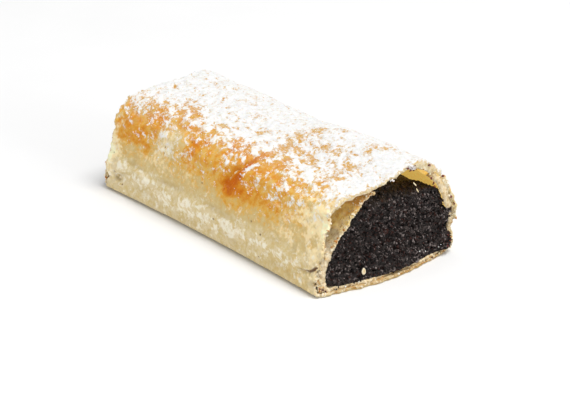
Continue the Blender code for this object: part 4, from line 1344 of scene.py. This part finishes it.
def scatter_seed(points, caps, body, top):
    """Bits of ground seed, half sunk in the cut faces and on the top of the filling."""
    table = np.random.RandomState(601)
    centres, normals = [], []
    for tris in caps:
        p0, p1, p2 = points[tris[:, 0]], points[tris[:, 1]], points[tris[:, 2]]
        cross = np.cross(p1 - p0, p2 - p0)
        area = np.linalg.norm(cross, axis=1)
        pick = table.choice(len(tris), 3500, p=area / area.sum())
        a, b = table.rand(2, len(pick))
        over = a + b > 1
        a[over], b[over] = 1 - a[over], 1 - b[over]
        centres.append(p0[pick] + (p1 - p0)[pick] * a[:, None] + (p2 - p0)[pick] * b[:, None])
        normals.append(cross[pick] / area[pick][:, None])
    # the strip of its top that shows in the hollow at each cut
    du, dv = np.gradient(body, axis=0), np.gradient(body, axis=1)
    normal = np.cross(dv, du)
    normal /= np.maximum(np.linalg.norm(normal, axis=2)[..., None], 1e-9)
    middle = body.mean((0, 1))
    normal *= np.where(((body - middle) * normal).sum(2) < 0, -1, 1)[..., None]
    near = (np.abs(body[..., 0]) > LENGTH / 2 - 9).astype(float) * top
    chance = near.ravel() / near.sum()
    pick = table.choice(chance.size, 1500, p=chance)
    i, j = np.unravel_index(pick, near.shape)
    centres.append(body[i, j] + table.uniform(-0.25, 0.25, (len(i), 3)))
    normals.append(normal[i, j])
    centres, normals = np.vstack(centres), np.vstack(normals)
    size = 0.25 + 0.24 * table.rand(len(centres)) ** 1.5
    centres = centres + normals * (size * table.uniform(-0.35, 0.55, len(size)))[:, None]
    # a few crumbs fallen on the lip under each cut
    for end, reach in ((1, LIP_NEAR), (-1, LIP_FAR)):
        y = table.uniform(-25, 25, 5)
        out = 1.2 + reach * np.cos(math.pi * np.minimum(1, np.abs(y) / 31) / 2) * table.uniform(0.8, 1.1, len(y))
        centres = np.vstack([centres, np.stack([end * (LENGTH / 2 + out), y, table.uniform(1.1, 1.6, len(y))], 1)])
        size = np.concatenate([size, table.uniform(0.16, 0.36, len(y))])
    piece = bits("seed_bits", centres, size, (1.6, 0.85, 0.7), 0.28, table)
    # those on the top lie deeper in the hollow; their colour is darkened there: painted shade
    layer = piece.data.attributes["own"]
    own = np.zeros(len(centres) * 12, np.float32)
    layer.data.foreach_get("value", own)
    own[7000 * 12 : 8500 * 12] *= 0.5
    layer.data.foreach_set("value", own)
    # painted shade and light: the olive tint under the hollow
    tint = piece.data.attributes.new("painted_hollow_tint", "FLOAT", "POINT")
    tint.data.foreach_set("value", np.repeat(painted_hollow_tint(centres), 12).astype(np.float32))
    n = Nodes("seed_bits")
    patch = n.span(n.noise(2.4, 4, 0.65), 0.32, 0.68, -0.40, 0.36)
    shade = n.ramp(
        n.maths("ADD", n.field("own"), patch, clamp=True),
        (0.00, colour(58, 26, 18)),
        (0.05, colour(12, 7, 6)),
        (0.36, colour(20, 14, 12)),
        (0.60, colour(54, 45, 42)),
        (0.84, colour(92, 82, 79)),
        (1.00, colour(126, 115, 112)),
    )
    # painted shade and light: olive tint on the bits under the hollow
    shade = n.mix(n.maths("MULTIPLY", n.field("painted_hollow_tint"), n.span(n.noise(1.3, 3, 0.6), 0.35, 0.60, 0.2, 0.8)), shade, colour(52, 38, 16))
    n.finish(shade, n.span(n.noise(0.6, 2), 0.3, 0.7, 0.35, 0.7), n.bump(n.noise(0.3, 3, 0.6), 0.12), **{"Specular IOR Level": 0.25})
    piece.data.materials.append(n.material)
    return piece


# The few loose bits that show one by one: where, which way out, length and width, turn.
PALE_SEEDS = (
    ((68.8, -12.6, 5.2), (0.93, -0.19, 0.32), 2.5, 1.8, 78.0),
)
FLAKES = (
    ((64.8, 15.0, 30.4), (0.90, 0.0, 0.44), 1.8, 0.55, 110.0),
    ((65.4, 15.8, 28.0), (0.95, 0.0, 0.30), 1.8, 0.5, 100.0),
    ((-66.0, -6.0, 24.0), (-0.95, 0.0, 0.30), 1.8, 0.6, 40.0),
)
DARK_BITS = (
    (65.9, 18.0, 39.9), (66.2, 30.6, 4.0), (66.6, 29.4, 3.2), (65.2, 12.4, 39.0), (65.3, 15.8, 38.9),
    (-66.2, 27.0, 30.4), (-66.4, 31.4, 14.0),
)
# More on the face of the near cut's broken edge, by Y and Z.
RIM_SPECKS = (
    (21.9, 36.3), (24.0, 32.2), (29.7, 30.2), (22.7, 29.0), (23.2, 28.0), (31.7, 21.5), (33.0, 19.3), (30.6, 17.6),
    (31.1, 15.2), (21.6, 31.2),
)
# Dark bits at its low corner, by Y and Z: painted shade standing for a crevice.
CREVICE_SHADE = ((-31.7, 3.3), (-31.0, 2.5), (-30.3, 2.5), (-29.3, 1.8))
GLOSS = ((65.5, 12.4, 37.9), (0.80, -0.45, 0.30), 3.4, 2.0, -22.0)
GLOSS_EDGE = (
    (65.8, 10.6, 38.0), (66.0, 11.4, 37.2), (66.0, 13.0, 36.9), (65.8, 14.5, 36.8), (65.7, 14.2, 37.8),
)
# White grains: sugar, and the small ones low on the near cut's face, from Y 2 to 27, painted highlights where glints
# show on the seed
SUGAR_AND_GLINT_GRAINS = (
    (68.9, -15.0, 1.9, 0.55), (69.6, 2.2, 2.0, 0.42), (69.4, 5.6, 2.6, 0.40), (68.2, 16.5, 2.3, 0.48), (67.6, 18.6, 3.7, 0.40),
    (65.9, 2.9, 35.4, 0.55), (65.8, 3.6, 34.9, 0.45), (65.6, 2.3, 35.2, 0.40), (68.7, -21.0, 1.6, 0.40), (68.0, 12.0, 3.3, 0.32),
    (68.0, 15.2, 4.8, 0.34), (67.9, 25.0, 3.8, 0.30), (68.0, 23.5, 3.4, 0.34), (67.8, 26.3, 4.3, 0.28), (68.4, 6.5, 4.3, 0.30),
    (-66.9, 4.0, 12.0, 0.40), (-66.8, -9.0, 7.0, 0.45),
)


def laid(shape, at, out, long, wide, turn):
    """A shape of unit half sizes, laid against a face that looks this way."""
    out = np.asarray(out, float) / np.linalg.norm(out)
    side = np.cross((0.0, 0.0, 1.0), out)
    side /= np.linalg.norm(side)
    rise = np.cross(out, side)
    cos, sin = math.cos(math.radians(turn)), math.sin(math.radians(turn))
    along, across = side * cos + rise * sin, rise * cos - side * sin
    return np.asarray(at) + shape[:, :1] * along * long / 2 + shape[:, 1:2] * across * wide / 2 + shape[:, 2:] * out * wide * 0.26


def ball(rings, around_it):
    """Points and faces of a ball of radius one."""
    points = [(0.0, 0.0, 1.0)]
    for i in range(1, rings):
        lean = math.pi * i / rings
        for j in range(around_it):
            spin = 2 * math.pi * j / around_it
            points.append((math.sin(lean) * math.cos(spin), math.sin(lean) * math.sin(spin), math.cos(lean)))
    points.append((0.0, 0.0, -1.0))
    faces = []
    for j in range(around_it):
        k = (j + 1) % around_it
        faces.append((0, 1 + j, 1 + k))
        last = 1 + (rings - 2) * around_it
        faces.append((last + k, last + j, len(points) - 1))
        for i in range(rings - 2):
            a, b = 1 + i * around_it + j, 1 + i * around_it + k
            faces.append((a, a + around_it, b + around_it))
            faces.append((a, b + around_it, b))
    return np.array(points), np.array(faces)


def make_pale_seed():
    """The whole pale seed on the near cut: a flat drop with a darker middle."""
    points, faces = [], []
    for at, out, long, wide, turn in PALE_SEEDS:
        shape, face = ball(24, 40)
        point_end = 0.5 + 0.5 * shape[:, 0]
        shape[:, 1] *= 1 - 0.42 * np.clip(point_end, 0, 1) ** 2.2
        rim = np.clip(1 - np.hypot(shape[:, 0], shape[:, 1]), 0, 1)
        shape[:, 2] *= 1 - 0.16 * step(rim, 0.25, 0.6)
        faces.append(face + sum(len(p) for p in points))
        points.append(laid(shape, at, out, long, wide, turn))
    middle = np.clip(1 - np.hypot(shape[:, 0] * 1.1, shape[:, 1] * 1.3), 0, 1)
    piece = build("pale_seed", np.vstack(points), np.vstack(faces), {"middle": np.tile(middle, len(PALE_SEEDS))})
    n = Nodes("pale_seed")
    shade = n.ramp(n.field("middle"), (0.15, colour(238, 226, 196)), (0.5, colour(206, 184, 138)))
    shade = n.mix(n.span(n.noise(0.5, 3), 0.4, 0.7, 0.0, 0.4), shade, colour(190, 160, 112))
    n.finish(shade, 0.38, n.bump(n.noise(0.25, 3, 0.6), 0.06), **{"Specular IOR Level": 0.5})
    piece.data.materials.append(n.material)
    return piece


def make_gloss():
    """A bit of melted sugar under the upper edge of the near cut."""
    table = np.random.RandomState(731)
    at, out, long, wide, turn = GLOSS
    shape, faces = ball(16, 24)
    bump = 1 + 0.16 * clouds(shape[:, 0] * 1.6, shape[:, 1] * 1.6, shape[:, 2] * 1.6, 733, 3, 0.6)
    piece = build("melted_sugar", laid(shape * bump[:, None] * (1, 1, 1.6), at, out, long, wide, turn), faces)
    n = Nodes("melted_sugar")
    shade = n.ramp(n.noise(0.9, 3, 0.6), (0.35, colour(150, 136, 128)), (0.55, colour(226, 222, 220)))
    n.finish(shade, n.span(n.noise(0.7, 2), 0.3, 0.7, 0.10, 0.25), n.bump(n.noise(0.6, 3, 0.6), 0.12), **{"Specular IOR Level": 0.6})
    piece.data.materials.append(n.material)
    return piece


def make_flakes():
    """Thin curled slivers of pastry and pale husk."""
    table = np.random.RandomState(701)
    points, faces, count = [], [], 0
    for at, out, long, wide, turn in FLAKES:
        shape, face = ball(10, 18)
        shape = shape * (1 + 0.12 * table.uniform(-1, 1, (len(shape), 1)))
        shape[:, 2] += 0.9 * shape[:, 0] ** 2
        shape[:, 1] += 0.5 * np.sin(2.2 * shape[:, 0])
        points.append(laid(shape, at, out, long, wide, turn))
        faces.append(face + count)
        count += len(shape)
    piece = build("pastry_flakes", np.vstack(points), np.vstack(faces))
    n = Nodes("pastry_flakes")
    shade = n.ramp(n.noise(0.8, 3, 0.6), (0.3, colour(214, 190, 140)), (0.7, colour(240, 228, 196)))
    n.finish(shade, 0.5, n.bump(n.noise(0.4, 3, 0.6), 0.08))
    piece.data.materials.append(n.material)
    return piece


def make_crumbs(outside, lining, dough):
    """Crumbs of pastry along the broken edges, in the gap and on the lips."""
    table = np.random.RandomState(721)
    where, sizes = [], []
    for end, near, held, gap in ((1, outside[-1], lining[-1], dough[-9:]), (-1, outside[0], lining[0], dough[:9])):
        # on the broken edge of the sheet
        spread = np.gradient(ALONG) * (1 - 0.85 * step(ALONG, 36, 48) * (1 - step(ALONG, 120, 126))) * (1 - 0.75 * step(ALONG, 128, 133))
        pick = table.choice(COLUMNS, 300, p=spread / spread.sum())
        t = table.uniform(0.15, 1.1, len(pick))[:, None]
        spot = near[pick] * (1 - t) + held[pick] * t
        spot[:, 0] += end * table.uniform(-0.4, 0.25, len(pick))
        where.append(spot)
        sizes.append(0.2 + 0.5 * table.rand(len(pick)) ** 2.5)
        # on the inner turn where it shows in the gap
        i = table.randint(0, len(gap), 240)
        j = (table.rand(240) * gap.shape[1] * 0.33).astype(int)
        where.append(gap[i, j] + table.uniform(-0.25, 0.25, (240, 3)))
        sizes.append(0.14 + 0.30 * table.rand(240) ** 2)
        # along the inner turn's own broken edge
        edge = gap[-1] if end > 0 else gap[0]
        amount = np.where(np.arange(len(edge)) < len(edge) * 0.4, 1.0, 0.3)
        j = table.choice(len(edge), 240, p=amount / amount.sum())
        spot = edge[j] + table.uniform(-0.5, 0.3, (240, 3))
        spot[:, 2] = np.maximum(spot[:, 2], 0.6)
        where.append(spot)
        sizes.append(0.16 + 0.5 * table.rand(240) ** 2.5)
        # crumbly dough closes the corner where the sheet turns under
        t = table.rand(130)[:, None]
        spot = np.array([end * (LENGTH / 2 + 0.9), -30.9, 2.2]) * (1 - t) + np.array([end * (LENGTH / 2 + 0.1), -31.0, 7.5]) * t
        where.append(spot + table.normal(0, 1, (130, 3)) * (0.35, 0.45, 0.4))
        sizes.append(0.35 + 0.55 * table.rand(130) ** 2)
    where, sizes = np.vstack(where), np.concatenate(sizes)
    where[:, 2] = np.maximum(where[:, 2], sizes * 1.6)
    piece = bits("pastry_crumbs", where, sizes, (1.2, 1.0, 0.6), 0.28, table)
    n = Nodes("pastry_crumbs")
    tint = n.maths("ADD", n.field("own"), n.span(n.noise(3.0, 3, 0.6), 0.3, 0.7, -0.3, 0.3), clamp=True)
    shade = n.ramp(
        tint,
        (0.00, colour(190, 126, 58)),
        (0.16, colour(206, 172, 118)),
        (0.55, colour(222, 204, 162)),
        (1.00, colour(242, 232, 208)),
    )
    n.finish(shade, n.span(n.noise(0.6, 2), 0.3, 0.7, 0.5, 0.7), n.bump(n.noise(0.4, 3, 0.6), 0.1), **{"Specular IOR Level": 0.2})
    piece.data.materials.append(n.material)
    return piece


def make_dark_bits(outside, lining, seeded):
    """Reddish brown specks of filling baked on to the broken edge, and dark bits at the near cut's low corner as
    painted shade of a crevice.
    """
    table = np.random.RandomState(711)
    where = []
    rim = np.vstack([outside[-1] * (1 - t) + lining[-1] * t for t in (0.0, 0.25, 0.5, 0.75, 1.0)])
    for y, z in RIM_SPECKS:
        off = np.hypot(rim[:, 1] - y, rim[:, 2] - z)
        spot = rim[off.argmin()] + (0.4, 0.0, 0.0) if off.min() < 1.0 else np.array([66.4, y, z])
        where.append(spot)
        where.append(spot + table.normal(0, 0.22, 3) * (0.5, 1.0, 1.0))
    # painted shade: dark bits standing for a crevice at the low corner
    for y, z in CREVICE_SHADE:
        where.append(np.array([67.3, y, z]) + table.normal(0, 0.1, 3))
    bold = len(where)
    # a little baked syrup low on the right of the near cut
    face = seeded[seeded[:, 0] > 60]
    for y, z in ((30.6, 6.6), (30.0, 5.2), (29.4, 4.0), (28.6, 3.4), (30.4, 3.6), (27.6, 2.6)):
        spot = face[np.hypot(face[:, 1] - y, face[:, 2] - z).argmin()]
        where.append(spot + (0.25, 0.0, 0.0))
        where.append(spot + table.normal(0, 0.3, 3) + (0.2, 0.0, 0.0))
    for at in DARK_BITS:
        # each little group sits on the sheet's own surface, close to its cut
        shell = outside[-3:] if at[0] > 0 else outside[:3]
        shell = shell.reshape(-1, 3)
        spot = shell[np.linalg.norm(shell - np.asarray(at), axis=1).argmin()]
        # sunk a little towards the middle of the cut
        sunk = np.array([0.0, 2.0, 18.0]) - spot
        sunk[0] = 0.0
        spot = spot + 0.5 * sunk / np.linalg.norm(sunk)
        for _ in range(2):
            where.append(spot + table.normal(0, 0.3, 3) * (1.0, 0.35, 0.35))
    for at in GLOSS_EDGE:
        for _ in range(2):
            where.append(np.asarray(at) + table.normal(0, 0.2, 3))
    for end, low, high in ((1, -26, 30), (-1, -26, 30)):
        y = table.uniform(low, high, 3)
        where.extend(np.stack([end * (LENGTH / 2 + table.uniform(1.2, 3.6, 3)), y, table.uniform(1.1, 1.6, 3)], 1))
    where = np.array(where)
    size = 0.20 + 0.22 * table.rand(len(where))
    size[:bold] += 0.10
    where[:, 2] = np.maximum(where[:, 2], size * 1.7)
    piece = bits("baked_specks", where, size, (1.3, 0.9, 0.6), 0.25, table)
    n = Nodes("baked_specks")
    shade = n.ramp(n.field("own"), (0.0, colour(78, 22, 12)), (0.7, colour(112, 38, 22)), (1.0, colour(176, 92, 40)))
    n.finish(shade, n.span(n.noise(0.5, 2), 0.3, 0.7, 0.25, 0.5), n.bump(n.noise(0.3, 3, 0.6), 0.08))
    piece.data.materials.append(n.material)
    return piece


# ---------------------------------------------------------------- floor, light and camera


def make_floor():
    size = 1400.0
    points = np.array([(-size, -size, 0), (size, -size, 0), (size, size, 0), (-size, size, 0)], float) + OFFSET
    points[:, 2] = -0.15
    floor = build("floor", points, np.array([[0, 1, 2, 3]]))
    n = Nodes("floor")
    shade = n.ramp(n.noise(60, 2), (0.3, colour(233, 233, 233)), (0.7, colour(235, 235, 235)))
    n.finish(shade, n.span(n.noise(80, 2), 0.3, 0.7, 0.88, 0.92), **{"Specular IOR Level": 0.1})
    floor.data.materials.append(n.material)
    return floor


def make_light():
    world = bpy.data.worlds.new("studio")
    world.use_nodes = True
    back = world.node_tree.nodes["Background"]
    back.inputs["Color"].default_value = (1.0, 1.0, 1.0, 1.0)
    back.inputs["Strength"].default_value = 0.45
    bpy.context.scene.world = world
    from mathutils import Vector

    for name, at, size, power in (
        ("key", (0.65, 0.42, 2.30), 1.35, 46.8),
        ("front", (1.56, 0.24, 0.52), 0.60, 6.6),
        ("fill", (-0.20, -1.50, 0.50), 0.90, 5.4),
    ):
        lamp = bpy.data.lights.new(name, "AREA")
        lamp.shape = "DISK"
        lamp.size = size
        lamp.energy = power
        holder = bpy.data.objects.new(name, lamp)
        holder.location = at
        holder.rotation_euler = (Vector((0, 0, 0.02)) - Vector(at)).to_track_quat("-Z", "Y").to_euler()
        bpy.context.scene.collection.objects.link(holder)


def make_camera():
    from mathutils import Matrix, Vector

    rise, turn, away = 0.40268354, -0.68418844, 688.8558
    target = Vector((28.3927, -18.4123, 17.7485))
    back = Vector((math.cos(rise) * math.cos(turn), math.cos(rise) * math.sin(turn), math.sin(rise)))
    right = Vector((-math.sin(turn), math.cos(turn), 0.0))
    up = back.cross(right)
    spot = (target + back * away) * 0.001
    lens = bpy.data.cameras.new("camera")
    lens.sensor_width = 36.0
    lens.lens = 118.37
    lens.clip_start = 0.01
    holder = bpy.data.objects.new("camera", lens)
    frame_at = Matrix((right, up, back)).transposed().to_4x4()
    frame_at.translation = spot
    holder.matrix_world = frame_at
    bpy.context.scene.collection.objects.link(holder)
    bpy.context.scene.camera = holder


# ---------------------------------------------------------------- put together

crust, crust_outside, crust_inside, crust_sugar = make_crust()
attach(crust, "root")
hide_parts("crust")

dough, dough_outside = make_dough()
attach(dough, "root")
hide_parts("inner_dough")

filling, filling_points, filling_caps, filling_body, filling_top = make_filling()
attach(filling, "root")
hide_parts("poppy_filling")

grains = scatter_sugar(crust_outside, crust_sugar)
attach(grains, "root")

seeds = scatter_seed(filling_points, filling_caps, filling_body, filling_top)
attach(seeds, "root")

pale_seed = make_pale_seed()
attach(pale_seed, "root")

flakes = make_flakes()
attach(flakes, "root")

gloss = make_gloss()
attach(gloss, "root")

crumbs = make_crumbs(crust_outside, crust_inside, dough_outside)
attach(crumbs, "root")

specks = make_dark_bits(crust_outside, crust_inside, filling_points)
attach(specks, "root")

make_floor()
make_light()
make_camera()
bpy.context.scene.view_settings.view_transform = "Standard"
